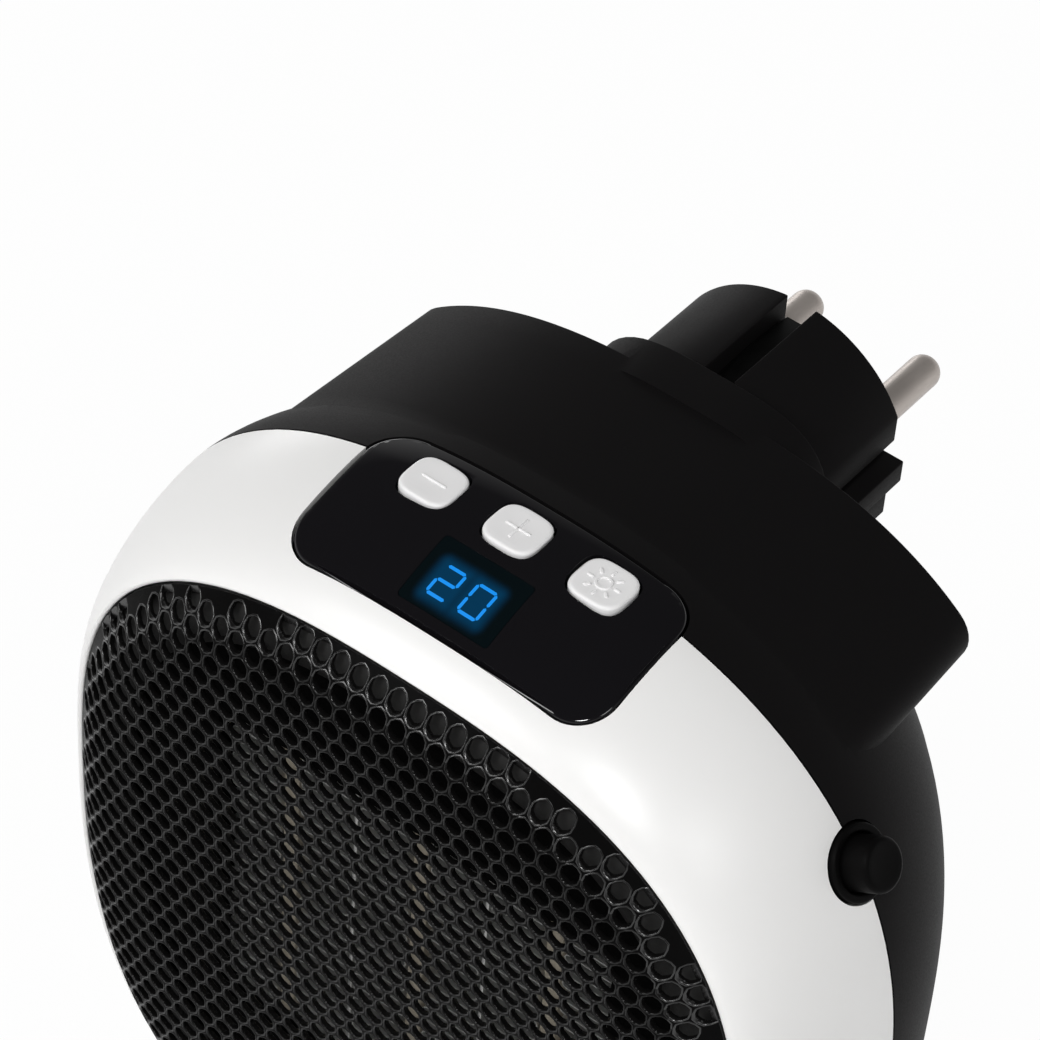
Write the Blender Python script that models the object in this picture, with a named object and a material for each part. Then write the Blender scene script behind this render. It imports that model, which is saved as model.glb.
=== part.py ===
# Plug-in fan heater: a white front bezel and a raised honeycomb grille on a black rear housing
# that turns on a wall plug. Units are metres, +Z is up, +Y points at the wall.
# The origin is the middle of the plug's end face, the face that meets the wall socket.

import math

import bmesh
import bpy
from mathutils import Vector

MM = 0.001

# Clearances and mesh finish
GAP = 0.3 * MM
OVERRUN = 3.0 * MM
AROUND = 56
FINE_AROUND = 24
BUTTON_AROUND = 20
SKIN_COLUMNS = 8
SKIN_ROWS = 4

# Wall plug, 4.8 mm pins on 19 mm centres, standard earthed pattern
PLUG_RADIUS = 18.5 * MM
PLUG_LENGTH = 17.8 * MM
PIN_RADIUS = 2.4 * MM
PIN_SPACING = 19.0 * MM
PIN_LENGTH = 19.0 * MM
PIN_ROOT = 8.0 * MM
EARTH_SLOT_WIDTH = 4.4 * MM
EARTH_SLOT_DEPTH = 4.6 * MM
EARTH_STRIP_THICK = 0.8 * MM
EARTH_STRIP_BOW = 1.6 * MM
SIDE_FLAT_CUT = 2.1 * MM
SIDE_GROOVE_CUT = 1.4 * MM
SIDE_GROOVE_HALF = 4.3 * MM
SIDE_RIB_HALF = 1.8 * MM
SIDE_RIB_SINK = 0.3 * MM

# Swivel between plug and housing
NECK_RADIUS = 11.0 * MM
SPIGOT_RADIUS = 9.0 * MM
SPIGOT_LENGTH = 4.0 * MM
RETAINER_RADIUS = 15.0 * MM
RETAINER_THICK = 2.0 * MM

# Housing shells: rounded squares that share one middle below the plug
WALL = 2.2 * MM
TOP_RISE = 20.83 * MM
SEAM_HALF = 61.1 * MM
LOWER_REACH = 13.4 * MM
SEAM_POWER = 2.524
RING_FLARE_X = 7.7 * MM
RING_FLARE_Z = 9.0 * MM
LIP_POWER = 2.687
RING_DEPTH = 22.35 * MM
RING_CURVE = 1.56
HOUSING_DEPTH = 34.7 * MM
DOME_DEPTH = 55.5 * MM
DOME_CURVE = 1.72
REAR_FLAT_RISE = 1.0 * MM
BLOCK_STEP = 1.5 * MM
BLOCK_TAPER = 1.13 * MM
BLOCK_POWER = 2.607
BLOCK_FLOOR_DROP = 1.5 * MM
BLOCK_ROUND = 5.0 * MM
BOSS_HALF = 18.7 * MM
BOSS_POWER = 3.51
BOSS_RISE = 4.2 * MM
BOSS_WALL = 2.5 * MM

# Screw posts and screws
POST_RADIUS = 5.8 * MM
POST_SINK = 1.0 * MM
POST_ANGLES = (57.0, 123.0, 225.0, 315.0)
BEZEL_POST_DEPTH = 7.0 * MM
SCREW_SEAT_DEPTH = 10.0 * MM
SCREW_RADIUS = 1.5 * MM
SCREW_HEAD_RADIUS = 2.6 * MM
SCREW_HEAD_HEIGHT = 2.0 * MM
SCREW_GRIP = 5.5 * MM

# Front grille
GRILLE_INSET = 0.4 * MM
GRILLE_THICK = 1.4 * MM
GRILLE_HEIGHT = 5.15 * MM
GRILLE_EDGE_POWER = 13.0
GRILLE_ROUND_POWER = 1.25
GRILLE_SKIRT = 2.35 * MM
GRILLE_PITCH = 8.0 * MM
GRILLE_OPEN_SHARE = 0.85
GRILLE_MARGIN = 5.0 * MM

# Control panel, its buttons and its display
PANEL_HALF_X = 24.05 * MM
PANEL_SHIFT = -0.6 * MM
PANEL_LENGTH = 22.7 * MM
PANEL_SETBACK = 4.65 * MM
PANEL_ROUND = 5.5 * MM
PANEL_WALL = 2.4 * MM
BUTTON_HALF_X = 3.82 * MM
BUTTON_HALF_Y = 3.67 * MM
BUTTON_POWER = 3.5
BUTTON_PITCH = 13.05 * MM
BUTTON_SETBACK = 5.85 * MM
BUTTON_PROUD = 0.45 * MM
BUTTON_BEVEL = 0.5 * MM
BUTTON_TRAVEL = 0.3 * MM
BUTTON_STEM_RADIUS = 1.6 * MM
WINDOW_WIDTH = 13.7 * MM
WINDOW_LENGTH = 9.3 * MM
WINDOW_SETBACK = 1.9 * MM
WINDOW_SHIFT = -0.15 * MM
DISPLAY_RIM = 0.7 * MM
BOARD_THICK = 1.4 * MM
CONTROL_BOARD_HALF_X = 20.0 * MM
CONTROL_BOARD_DROP = 8.7 * MM
CONTROL_BOARD_MARGIN = 2.0 * MM
SWITCH_HALF = 3.0 * MM
SWITCH_HEIGHT = 2.2 * MM

# Power button at the right side, where the bezel meets the housing
POWER_ANGLE = 37.07
SOCKET_RADIUS = 4.9 * MM
SOCKET_WALL = 1.1 * MM
SOCKET_DEPTH = 6.0 * MM
SOCKET_PROUD = 0.3 * MM
SOCKET_FLOOR = 1.2 * MM
POWER_KNOB_PROUD = 4.0 * MM
POWER_TRAVEL = 1.5 * MM
POWER_STEM_RADIUS = 1.5 * MM
POWER_STEM_REACH = 1.6 * MM
POWER_SWITCH_HALF = 4.5 * MM
POWER_SWITCH_DEPTH = 6.0 * MM

# Heating core: ceramic strips between folded fins, three groups side by side
CORE_OFFSET = 5.73 * MM
CORE_SETBACK = 5.05 * MM
CORE_DEPTH = 15.0 * MM
CORE_SIDE_ROOM = 21.75 * MM
CORE_END_ROOM = 24.1 * MM
STRIP_THICK = 2.5 * MM
FIN_THICK = 0.35 * MM
FIN_PITCH = 5.6 * MM
DIVIDER_THICK = 0.6 * MM
STRIP_COUNT = 3
FRAME_WALL = 2.4 * MM
FRAME_TAIL = 2.0 * MM
BAFFLE_THICK = 1.6 * MM
BAFFLE_LEAD = 2.3 * MM
CUTOUT_RADIUS = 4.5 * MM
CUTOUT_HEIGHT = 4.5 * MM

# Fan, motor and the duct round them
FAN_INSET = 1.65 * MM
FAN_CLEAR = 1.5 * MM
FAN_LEAD = 5.0 * MM
FAN_DEPTH = 12.0 * MM
FAN_HUB_RADIUS = 11.0 * MM
FAN_BLADES = 7
BLADE_THICK = 1.1 * MM
BLADE_ROOT_SWEEP = 52.0
BLADE_TIP_SWEEP = 34.0
BLADE_SINK = 1.0 * MM
BLADE_END_CLEAR = 1.0 * MM
SHAFT_RADIUS = 1.0 * MM
DUCT_WALL = 1.8 * MM
DUCT_FLANGE = 2.0 * MM
DUCT_FLANGE_ROOM = 16.1 * MM
DUCT_TAIL = 1.4 * MM
BRACKET_THICK = 2.0 * MM
BRACKET_HUB = 14.5 * MM
BRACKET_RIM = 2.8 * MM
BRACKET_ARM_HALF = 4.0 * MM
MOTOR_RADIUS = 12.0 * MM
MOTOR_NOSE_RADIUS = 4.0 * MM
MOTOR_BORE_SHARE = 0.5
MOTOR_CLEAR = 0.5 * MM

# Rear air inlet
INLET_ROOM = 35.1 * MM
INLET_OFFSET = 9.7 * MM
SLOT_WIDTH = 3.2 * MM
SLOT_PITCH = 6.4 * MM
SLOT_MARGIN = 2.6 * MM
SLOT_SPINE = 3.0 * MM

# Power board and what stands on it
POWER_BOARD_HALF_X = 24.0 * MM
POWER_BOARD_LENGTH = 21.0 * MM
POWER_BOARD_CLEAR = 2.5 * MM
RAIL_HALF_SPACING = 14.0 * MM
RAIL_THICK = 2.0 * MM
RAIL_HEIGHT = 3.4 * MM
RAIL_MARGIN = 1.0 * MM
RELAY_HALF_X = 8.0 * MM
RELAY_SHIFT = -9.0 * MM
RELAY_HALF_Y = 5.0 * MM
RELAY_HEIGHT = 11.0 * MM
SENSOR_RADIUS = 2.0 * MM
SENSOR_HEIGHT = 5.0 * MM
SENSOR_SHIFT = 15.0 * MM

# Sizes that follow from the outline at the seam
LIP_HALF_X = SEAM_HALF - RING_FLARE_X
LIP_HALF_Z = SEAM_HALF - RING_FLARE_Z
BLOCK_FRONT_HALF = SEAM_HALF - BLOCK_STEP
BLOCK_REAR_HALF = BLOCK_FRONT_HALF - BLOCK_TAPER
FRAME_HALF_X = LIP_HALF_X - CORE_SIDE_ROOM
CORE_HEIGHT = (LIP_HALF_Z - CORE_END_ROOM) * 2
FRAME_HALF_Z = CORE_HEIGHT / 2 + GAP
STRIP_SHARE = (FRAME_HALF_X - GAP) * 2 - (DIVIDER_THICK + GAP * 2) * (STRIP_COUNT - 1)
FIN_WIDTH = (STRIP_SHARE / STRIP_COUNT - STRIP_THICK) / 2 - GAP
STRIP_PITCH = STRIP_THICK + (FIN_WIDTH + GAP * 2) * 2 + DIVIDER_THICK
FAN_RADIUS = FRAME_HALF_X - FAN_INSET
DUCT_INNER = FAN_RADIUS + FAN_CLEAR
DUCT_OUTER = DUCT_INNER + DUCT_WALL
DUCT_FLANGE_RADIUS = SEAM_HALF - DUCT_FLANGE_ROOM
INLET_RADIUS = SEAM_HALF - INLET_ROOM

# Stations along Y, worked out from the plug's end face towards the front
BOSS_FACE_Y = -(PLUG_LENGTH + GAP)
BLOCK_REAR_Y = BOSS_FACE_Y - BOSS_RISE
REAR_FLAT_Y = BLOCK_REAR_Y + REAR_FLAT_RISE
SEAM_Y = BLOCK_REAR_Y - HOUSING_DEPTH
LIP_Y = SEAM_Y - RING_DEPTH
CENTRE_Z = TOP_RISE - SEAM_HALF
LOWER_STRETCH = 1.0 + LOWER_REACH / SEAM_HALF
CORE_Z = CENTRE_Z - CORE_OFFSET
NECK_END_Y = BOSS_FACE_Y - BOSS_WALL - GAP
SPIGOT_END_Y = NECK_END_Y - SPIGOT_LENGTH
CORE_FRONT_Y = LIP_Y + CORE_SETBACK
CORE_BACK_Y = CORE_FRONT_Y + CORE_DEPTH
FRAME_FRONT_Y = CORE_FRONT_Y - BAFFLE_LEAD
FRAME_BACK_Y = CORE_BACK_Y + FRAME_TAIL
DUCT_FRONT_Y = FRAME_BACK_Y + GAP
FAN_FRONT_Y = DUCT_FRONT_Y + FAN_LEAD
FAN_BACK_Y = FAN_FRONT_Y + FAN_DEPTH
DUCT_BACK_Y = FAN_BACK_Y + DUCT_TAIL
BRACKET_FRONT_Y = DUCT_BACK_Y + GAP
BRACKET_BACK_Y = BRACKET_FRONT_Y + BRACKET_THICK
MOTOR_FRONT_Y = BRACKET_BACK_Y + GAP
MOTOR_BACK_Y = REAR_FLAT_Y - WALL - MOTOR_CLEAR
PANEL_FRONT_Y = LIP_Y + PANEL_SETBACK
PANEL_REAR_Y = PANEL_FRONT_Y + PANEL_LENGTH
BUTTON_Y = PANEL_REAR_Y - BUTTON_SETBACK
WINDOW_Y = PANEL_FRONT_Y + WINDOW_SETBACK + WINDOW_LENGTH / 2
CONTROL_BOARD_Z = TOP_RISE - CONTROL_BOARD_DROP

MATERIALS = {
    "white_shell": ((0.83, 0.83, 0.84), 0.28, 0.0),
    "black_shell": ((0.012, 0.012, 0.013), 0.55, 0.0),
    "black_grille": ((0.015, 0.015, 0.016), 0.25, 0.0),
    "gloss_panel": ((0.008, 0.007, 0.010), 0.06, 0.0),
    "button_white": ((0.70, 0.70, 0.72), 0.35, 0.0),
    "nickel": ((0.62, 0.57, 0.50), 0.25, 1.0),
    "spring_steel": ((0.55, 0.54, 0.52), 0.35, 1.0),
    "aluminium_fin": ((0.60, 0.60, 0.61), 0.35, 1.0),
    "ceramic": ((0.55, 0.42, 0.25), 0.60, 0.0),
    "board_green": ((0.02, 0.16, 0.06), 0.50, 0.0),
    "steel": ((0.45, 0.45, 0.46), 0.35, 1.0),
    "relay_blue": ((0.02, 0.08, 0.25), 0.45, 0.0),
}


def clear_scene():
    for old in list(bpy.data.objects):
        bpy.data.objects.remove(old, do_unlink=True)


def make_material(name):
    colour, roughness, metallic = MATERIALS[name]
    material = bpy.data.materials.get(name)
    if material is None:
        material = bpy.data.materials.new(name)
        material.use_nodes = True
        shader = material.node_tree.nodes["Principled BSDF"]
        shader.inputs["Base Color"].default_value = (*colour, 1.0)
        shader.inputs["Roughness"].default_value = roughness
        shader.inputs["Metallic"].default_value = metallic
    return material


def add_empty(name, place, parent=None):
    empty = bpy.data.objects.new(name, None)
    empty.location = Vector(place)
    empty["place"] = list(place)
    if parent is not None:
        empty.parent = parent
        empty.location = Vector(place) - Vector(parent["place"])
    bpy.context.collection.objects.link(empty)
    return empty


def add_piece(name, mesh, material, parent=None, origin=(0.0, 0.0, 0.0)):
    """Turn a bmesh in world coordinates into an object whose origin is the given point."""
    bmesh.ops.recalc_face_normals(mesh, faces=mesh.faces[:])
    if mesh.calc_volume(signed=True) < 0:
        bmesh.ops.reverse_faces(mesh, faces=mesh.faces[:])
    bmesh.ops.translate(mesh, verts=mesh.verts[:], vec=-Vector(origin))
    data = bpy.data.meshes.new(name)
    mesh.to_mesh(data)
    mesh.free()
    data.shade_smooth()
    data.set_sharp_from_angle(angle=math.radians(35.0))
    data.materials.append(make_material(material))
    piece = bpy.data.objects.new(name, data)
    piece.location = Vector(origin)
    if parent is not None:
        piece.parent = parent
        piece.location = Vector(origin) - Vector(parent["place"])
    bpy.context.collection.objects.link(piece)
    return piece


def add_tool(name, mesh):
    """A shape that only cuts or joins, never shown."""
    tool = add_piece(name, mesh, "steel")
    tool.hide_render = True
    tool.display_type = "WIRE"
    return tool


def combine(piece, tool, operation):
    step = piece.modifiers.new(operation.lower() + "_" + tool.name, "BOOLEAN")
    step.object = tool
    step.operation = operation


# Outline and surface rules shared by the pieces
def polar(power, half_x, half_z, angle):
    across = (abs(math.cos(angle)) / half_x) ** power
    up = (abs(math.sin(angle)) / half_z) ** power
    reach = (across + up) ** (-1.0 / power)
    return reach * math.cos(angle), reach * math.sin(angle)


def squircle(half_x, half_z, power, y, centre_z=CENTRE_Z, count=AROUND):
    loop = []
    for index in range(count):
        x, z = polar(power, half_x, half_z, math.tau * index / count)
        loop.append(Vector((x, y, centre_z + z)))
    return loop


def circle(radius, y, centre_z, count=FINE_AROUND):
    return squircle(radius, radius, 2.0, y, centre_z, count)


def rectangle(half_x, half_z, y, centre_z, count=AROUND):
    """A rectangle with as many points as a squircle, one of them on each corner."""
    corner = math.atan2(half_z, half_x)
    corners = [corner, math.pi - corner, math.pi + corner, math.tau - corner]
    nearest = {round(angle / math.tau * count) % count: angle for angle in corners}
    loop = []
    for index in range(count):
        angle = nearest.get(index, math.tau * index / count)
        cos, sin = math.cos(angle), math.sin(angle)
        reach = min(half_x / max(abs(cos), 1e-9), half_z / max(abs(sin), 1e-9))
        loop.append(Vector((reach * cos, y, centre_z + reach * sin)))
    return loop


def drawn_down(z):
    """Height from the shells' middle, stretched below it, where the heater reaches further."""
    return z * LOWER_STRETCH if z < 0 else z


def drawn_up(z):
    """The unstretched height that a height on the shells belongs to."""
    return z / LOWER_STRETCH if z < 0 else z


def shell_loop(half_x, half_z, power, y):
    """A squircle round the shells' middle with its lower half drawn down."""
    loop = squircle(half_x, half_z, power, y)
    return [Vector((point.x, y, CENTRE_Z + drawn_down(point.z - CENTRE_Z))) for point in loop]


def seam_point(angle, inward):
    """A point on the bezel's back edge at a polar angle, moved in along the edge's normal."""
    x, z = polar(SEAM_POWER, SEAM_HALF, SEAM_HALF, angle)
    normal = Vector((
        math.copysign(abs(x) ** (SEAM_POWER - 1), x), 0.0,
        drawn_up(math.copysign(abs(z) ** (SEAM_POWER - 1), z)))).normalized()
    return Vector((x, SEAM_Y, CENTRE_Z + drawn_down(z))) - normal * inward, normal


def ring_growth(share):
    return (1.0 - (1.0 - share) ** RING_CURVE) ** (1.0 / RING_CURVE)


def ring_section(share, wall=0.0):
    """Half sizes and power of the white ring; share runs from the lip (0) to the seam (1)."""
    growth = ring_growth(share)
    if wall:
        step = 0.001
        slope_share = (growth - ring_growth(share - step)) / step
        slope = (SEAM_HALF - LIP_HALF_X) * slope_share / RING_DEPTH
        wall = wall * math.sqrt(1.0 + slope * slope)
    half_x = LIP_HALF_X + (SEAM_HALF - LIP_HALF_X) * growth - wall
    half_z = LIP_HALF_Z + (SEAM_HALF - LIP_HALF_Z) * growth - wall
    power = LIP_POWER + (SEAM_POWER - LIP_POWER) * growth
    return half_x, half_z, power


def dome_half(y, wall=0.0):
    """Half size of the black housing behind the seam, less a wall measured square to it."""
    share = max(0.0, (y - SEAM_Y) / DOME_DEPTH)
    core = 1.0 - share ** DOME_CURVE
    half = SEAM_HALF * core ** (1.0 / DOME_CURVE)
    if not wall:
        return half
    slope = -SEAM_HALF / DOME_DEPTH * share ** (DOME_CURVE - 1) * core ** (1.0 / DOME_CURVE - 1)
    return half - wall * math.sqrt(1.0 + slope * slope)


def top_surface(x, y):
    """Height of the shells' top skin, ring and housing alike."""
    if y < SEAM_Y:
        half_x, half_z, power = ring_section(max(0.0, (y - LIP_Y) / RING_DEPTH))
    else:
        half_x = half_z = dome_half(y)
        power = SEAM_POWER
    return CENTRE_Z + half_z * (1.0 - (abs(x) / half_x) ** power) ** (1.0 / power)


def grille_surface(x, z):
    half_x = LIP_HALF_X - GRILLE_INSET
    half_z = LIP_HALF_Z - GRILLE_INSET
    across = (abs(x) / half_x) ** LIP_POWER
    up = (abs(drawn_up(z - CENTRE_Z)) / half_z) ** LIP_POWER
    reach = min(1.0, (across + up) ** (1.0 / LIP_POWER))
    return LIP_Y - GRILLE_HEIGHT * (1.0 - reach ** GRILLE_EDGE_POWER) ** GRILLE_ROUND_POWER


# Mesh builders
def loft(loops, closed=False):
    """Skin a row of loops; open rows get a cap at each end, closed rows join end to start."""
    mesh = bmesh.new()
    rings = [[mesh.verts.new(point) for point in loop] for loop in loops]
    pairs = list(zip(rings, rings[1:]))
    if closed:
        pairs.append((rings[-1], rings[0]))
    for first, second in pairs:
        for index in range(len(first)):
            after = (index + 1) % len(first)
            mesh.faces.new((first[index], first[after], second[after], second[index]))
    if not closed:
        mesh.faces.new(rings[0][::-1])
        mesh.faces.new(rings[-1])
    return mesh


def turned(profile, centre_z, count=FINE_AROUND, centre_x=0.0):
    """A capped turned solid along Y from (radius, y) pairs."""
    loops = [circle(radius, y, centre_z, count) for radius, y in profile]
    mesh = loft(loops)
    bmesh.ops.translate(mesh, verts=mesh.verts[:], vec=(centre_x, 0.0, 0.0))
    return mesh


def box(low, high):
    mesh = bmesh.new()
    bmesh.ops.create_cube(mesh, size=1.0)
    for vert in mesh.verts:
        for axis in range(3):
            vert.co[axis] = high[axis] if vert.co[axis] > 0 else low[axis]
    return mesh


def joined(meshes):
    """Several separate solids in one mesh, for a tool that works at several places."""
    whole = bmesh.new()
    for mesh in meshes:
        data = bpy.data.meshes.new("joined")
        mesh.to_mesh(data)
        mesh.free()
        whole.from_mesh(data)
        bpy.data.meshes.remove(data)
    return whole


def sheet(outline, holes, front, back, lines_u=(), lines_v=()):
    """A plate from a flat outline with holes, its two faces placed by two surface rules."""
    flat = bmesh.new()
    for loop in [outline] + list(holes):
        verts = [flat.verts.new((u, v, 0.0)) for u, v in loop]
        for index, vert in enumerate(verts):
            flat.edges.new((vert, verts[(index + 1) % len(verts)]))
    bmesh.ops.triangle_fill(flat, use_beauty=True, use_dissolve=False, edges=flat.edges[:])
    for axis, lines in ((0, lines_u), (1, lines_v)):
        for value in lines:
            plane = Vector((0.0, 0.0, 0.0))
            plane[axis] = value
            normal = Vector((0.0, 0.0, 0.0))
            normal[axis] = 1.0
            everything = flat.verts[:] + flat.edges[:] + flat.faces[:]
            bmesh.ops.bisect_plane(flat, geom=everything, plane_co=plane, plane_no=normal)
    bmesh.ops.triangulate(flat, faces=flat.faces[:])
    flat.verts.index_update()
    solid = bmesh.new()
    near = [solid.verts.new(front(vert.co.x, vert.co.y, vert.is_boundary)) for vert in flat.verts]
    far = [solid.verts.new(back(vert.co.x, vert.co.y, vert.is_boundary)) for vert in flat.verts]
    for face in flat.faces:
        order = [vert.index for vert in face.verts]
        solid.faces.new([near[index] for index in order])
        solid.faces.new([far[index] for index in reversed(order)])
    for edge in flat.edges:
        if edge.is_boundary:
            one, two = (vert.index for vert in edge.verts)
            solid.faces.new((near[one], near[two], far[two], far[one]))
    flat.free()
    return solid


def flat_plate(outline, holes, y_front, y_back):
    """A flat sheet in the XZ plane."""
    return sheet(
        outline, holes,
        lambda x, z, edge: Vector((x, y_front, z)),
        lambda x, z, edge: Vector((x, y_back, z)))


def level_plate(outline, z_low, z_high):
    """A flat sheet in the XY plane."""
    return sheet(
        outline, [],
        lambda x, y, edge: Vector((x, y, z_low)),
        lambda x, y, edge: Vector((x, y, z_high)))


def round_rectangle(centre_u, centre_v, half_u, half_v, radius, steps=4):
    points = []
    corners = ((1, 1, 0.0), (-1, 1, 0.25), (-1, -1, 0.5), (1, -1, 0.75))
    for side_u, side_v, start in corners:
        for step in range(steps + 1):
            angle = math.tau * (start + 0.25 * step / steps)
            u = centre_u + side_u * (half_u - radius) + radius * math.cos(angle)
            v = centre_v + side_v * (half_v - radius) + radius * math.sin(angle)
            points.append((u, v))
    return points


def flat_circle(centre_u, centre_v, radius, count=FINE_AROUND):
    steps = [math.tau * index / count for index in range(count)]
    return [(centre_u + radius * math.cos(a), centre_v + radius * math.sin(a)) for a in steps]


# Plug
def plug_outline():
    """Section of the plug: round, earth slots above and below, a guide rib on each side."""
    half_slot = EARTH_SLOT_WIDTH / 2
    flat_x = PLUG_RADIUS - SIDE_FLAT_CUT
    groove_x = flat_x - SIDE_GROOVE_CUT
    start = math.acos(half_slot / PLUG_RADIUS)
    end = math.acos(flat_x / PLUG_RADIUS)
    steps = 8
    quarter = [(half_slot, PLUG_RADIUS - EARTH_SLOT_DEPTH)]
    for index in range(steps + 1):
        angle = start + (end - start) * index / steps
        quarter.append((PLUG_RADIUS * math.cos(angle), PLUG_RADIUS * math.sin(angle)))
    quarter.append((flat_x, SIDE_GROOVE_HALF))
    quarter.append((groove_x, SIDE_GROOVE_HALF))
    quarter.append((groove_x, SIDE_RIB_HALF))
    quarter.append((PLUG_RADIUS - SIDE_RIB_SINK, SIDE_RIB_HALF))
    lower = [(x, -z) for x, z in reversed(quarter)]
    right = quarter + lower
    left = [(-x, z) for x, z in reversed(right)]
    return right + left


def build_plug():
    outline = plug_outline()
    body = add_piece("plug_body", flat_plate(outline, [], -PLUG_LENGTH, 0.0), "black_shell")
    neck = turned([
        (NECK_RADIUS, -PLUG_LENGTH + OVERRUN), (NECK_RADIUS, NECK_END_Y),
        (SPIGOT_RADIUS, NECK_END_Y), (SPIGOT_RADIUS, SPIGOT_END_Y)], 0.0)
    combine(body, add_tool("neck_tool", neck), "UNION")
    side_x = PIN_SPACING / 2
    holes = [
        turned([(PIN_RADIUS + GAP, -PIN_ROOT), (PIN_RADIUS + GAP, OVERRUN)], 0.0, 16, side * side_x)
        for side in (-1, 1)]
    combine(body, add_tool("pin_hole_tool", joined(holes)), "DIFFERENCE")
    tip = PIN_RADIUS / 2
    for side, name in ((-1, "plug_pin_left"), (1, "plug_pin_right")):
        profile = [
            (PIN_RADIUS, -PIN_ROOT + GAP), (PIN_RADIUS, PIN_LENGTH - PIN_RADIUS),
            (PIN_RADIUS * 0.9, PIN_LENGTH - tip), (tip, PIN_LENGTH)]
        add_piece(name, turned(profile, 0.0, 16, side * side_x), "nickel")
    for side, name in ((1, "earth_contact_top"), (-1, "earth_contact_bottom")):
        add_piece(name, earth_strip(side), "spring_steel")


def earth_strip(side):
    """A bowed spring strip on the floor of an earth slot."""
    half = EARTH_SLOT_WIDTH / 2 - GAP
    floor = PLUG_RADIUS - EARTH_SLOT_DEPTH + GAP
    steps = 6
    loops = []
    for index in range(steps + 1):
        share = index / steps
        y = -PLUG_LENGTH + GAP + (PLUG_LENGTH - GAP * 2) * share
        low = floor + EARTH_STRIP_BOW * math.sin(math.pi * share)
        high = low + EARTH_STRIP_THICK
        loops.append([
            Vector((-half, y, side * low)), Vector((half, y, side * low)),
            Vector((half, y, side * high)), Vector((-half, y, side * high))])
    return loft(loops)


def build_retainer():
    """Flange on the plug's spigot that keeps the plug in the housing and lets it turn."""
    inner = SPIGOT_RADIUS + GAP
    rear = NECK_END_Y
    front = rear - RETAINER_THICK
    loops = [
        circle(inner, rear, 0.0), circle(RETAINER_RADIUS, rear, 0.0),
        circle(RETAINER_RADIUS, front, 0.0), circle(inner, front, 0.0)]
    add_piece("swivel_retainer", loft(loops, closed=True), "steel")


# Shells
def panel_outline(clearance):
    centre_y = (PANEL_FRONT_Y + PANEL_REAR_Y) / 2
    return round_rectangle(
        PANEL_SHIFT, centre_y, PANEL_HALF_X + clearance, PANEL_LENGTH / 2 + clearance,
        PANEL_ROUND + clearance, 5)


def panel_opening():
    low = CONTROL_BOARD_Z
    high = TOP_RISE + OVERRUN
    return level_plate(panel_outline(GAP), low, high)


def power_frame():
    place, normal = seam_point(math.radians(POWER_ANGLE), 0.0)
    turn = normal.to_track_quat("Z", "Y").to_matrix().to_4x4()
    turn.translation = place
    return turn


def in_power_frame(loops, closed=False):
    """Loft loops given in the button's own frame, where +Z points out of the side."""
    frame = power_frame()
    return loft([[frame @ point for point in loop] for loop in loops], closed)


def level_circle(radius, z, count=FINE_AROUND):
    steps = [math.tau * index / count for index in range(count)]
    return [Vector((radius * math.cos(a), radius * math.sin(a), z)) for a in steps]


def power_hole():
    radius = SOCKET_RADIUS + GAP
    return in_power_frame([
        level_circle(radius, -SOCKET_DEPTH - OVERRUN * 2), level_circle(radius, OVERRUN * 2)])


def build_bezel(parent):
    outer_shares = (0.0, 0.02, 0.08, 0.18, 0.33, 0.55, 1.0)
    inner_shares = (1.0, 0.6, 0.4, 0.26)
    back_y = SEAM_Y - GAP / 2
    span = back_y - LIP_Y
    loops = []
    for share in outer_shares:
        loops.append(shell_loop(*ring_section(share), LIP_Y + span * share))
    for share in inner_shares:
        loops.append(shell_loop(*ring_section(share, WALL), LIP_Y + span * share))
    inner_end_y = LIP_Y + span * inner_shares[-1]
    loops.append(shell_loop(LIP_HALF_X, LIP_HALF_Z, LIP_POWER, inner_end_y))
    bezel = add_piece("front_bezel", loft(loops, closed=True), "white_shell", parent)
    posts = []
    bores = []
    for angle in POST_ANGLES:
        centre, _ = seam_point(math.radians(angle), WALL + POST_RADIUS - POST_SINK)
        front_y = back_y - BEZEL_POST_DEPTH
        posts.append(turned(
            [(POST_RADIUS, front_y), (POST_RADIUS, back_y)], centre.z, 20, centre.x))
        bores.append(turned(
            [(SCREW_RADIUS + GAP, front_y - OVERRUN), (SCREW_RADIUS + GAP, back_y + OVERRUN)],
            centre.z, 12, centre.x))
    combine(bezel, add_tool("bezel_post_tool", joined(posts)), "UNION")
    combine(bezel, add_tool("bezel_bore_tool", joined(bores)), "DIFFERENCE")
    combine(bezel, bpy.data.objects["panel_opening_tool"], "DIFFERENCE")
    combine(bezel, bpy.data.objects["power_hole_tool"], "DIFFERENCE")


def block_loop(half, floor_z, radius, y):
    """Section of the upper block: the squircle's top, rounded corners and a flat underside."""
    def place(angle):
        x, z = polar(BLOCK_POWER, half, half, angle)
        normal = Vector((x ** (BLOCK_POWER - 1), z ** (BLOCK_POWER - 1))).normalized()
        return x, z, normal

    low, high = 0.01, math.pi / 2 - 0.01
    for _ in range(50):
        middle = (low + high) / 2
        x, z, normal = place(middle)
        if CENTRE_Z + z - radius * normal.y < floor_z + radius:
            low = middle
        else:
            high = middle
    x, z, normal = place(low)
    corner_x = x - radius * normal.x
    corner_z = floor_z + radius
    turn_start = math.atan2(normal.y, normal.x)
    top_steps = 26
    corner_steps = 6
    right = []
    for step in range(corner_steps):
        angle = -math.pi / 2 + (turn_start + math.pi / 2) * step / corner_steps
        right.append((corner_x + radius * math.cos(angle), corner_z + radius * math.sin(angle)))
    for step in range(top_steps // 2 + 1):
        angle = low + (math.pi / 2 - low) * step / (top_steps // 2)
        top_x, top_z = polar(BLOCK_POWER, half, half, angle)
        right.append((top_x, CENTRE_Z + top_z))
    left = [(-x, z) for x, z in reversed(right[:-1])]
    return [Vector((x, y, z)) for x, z in right + left]


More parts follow.
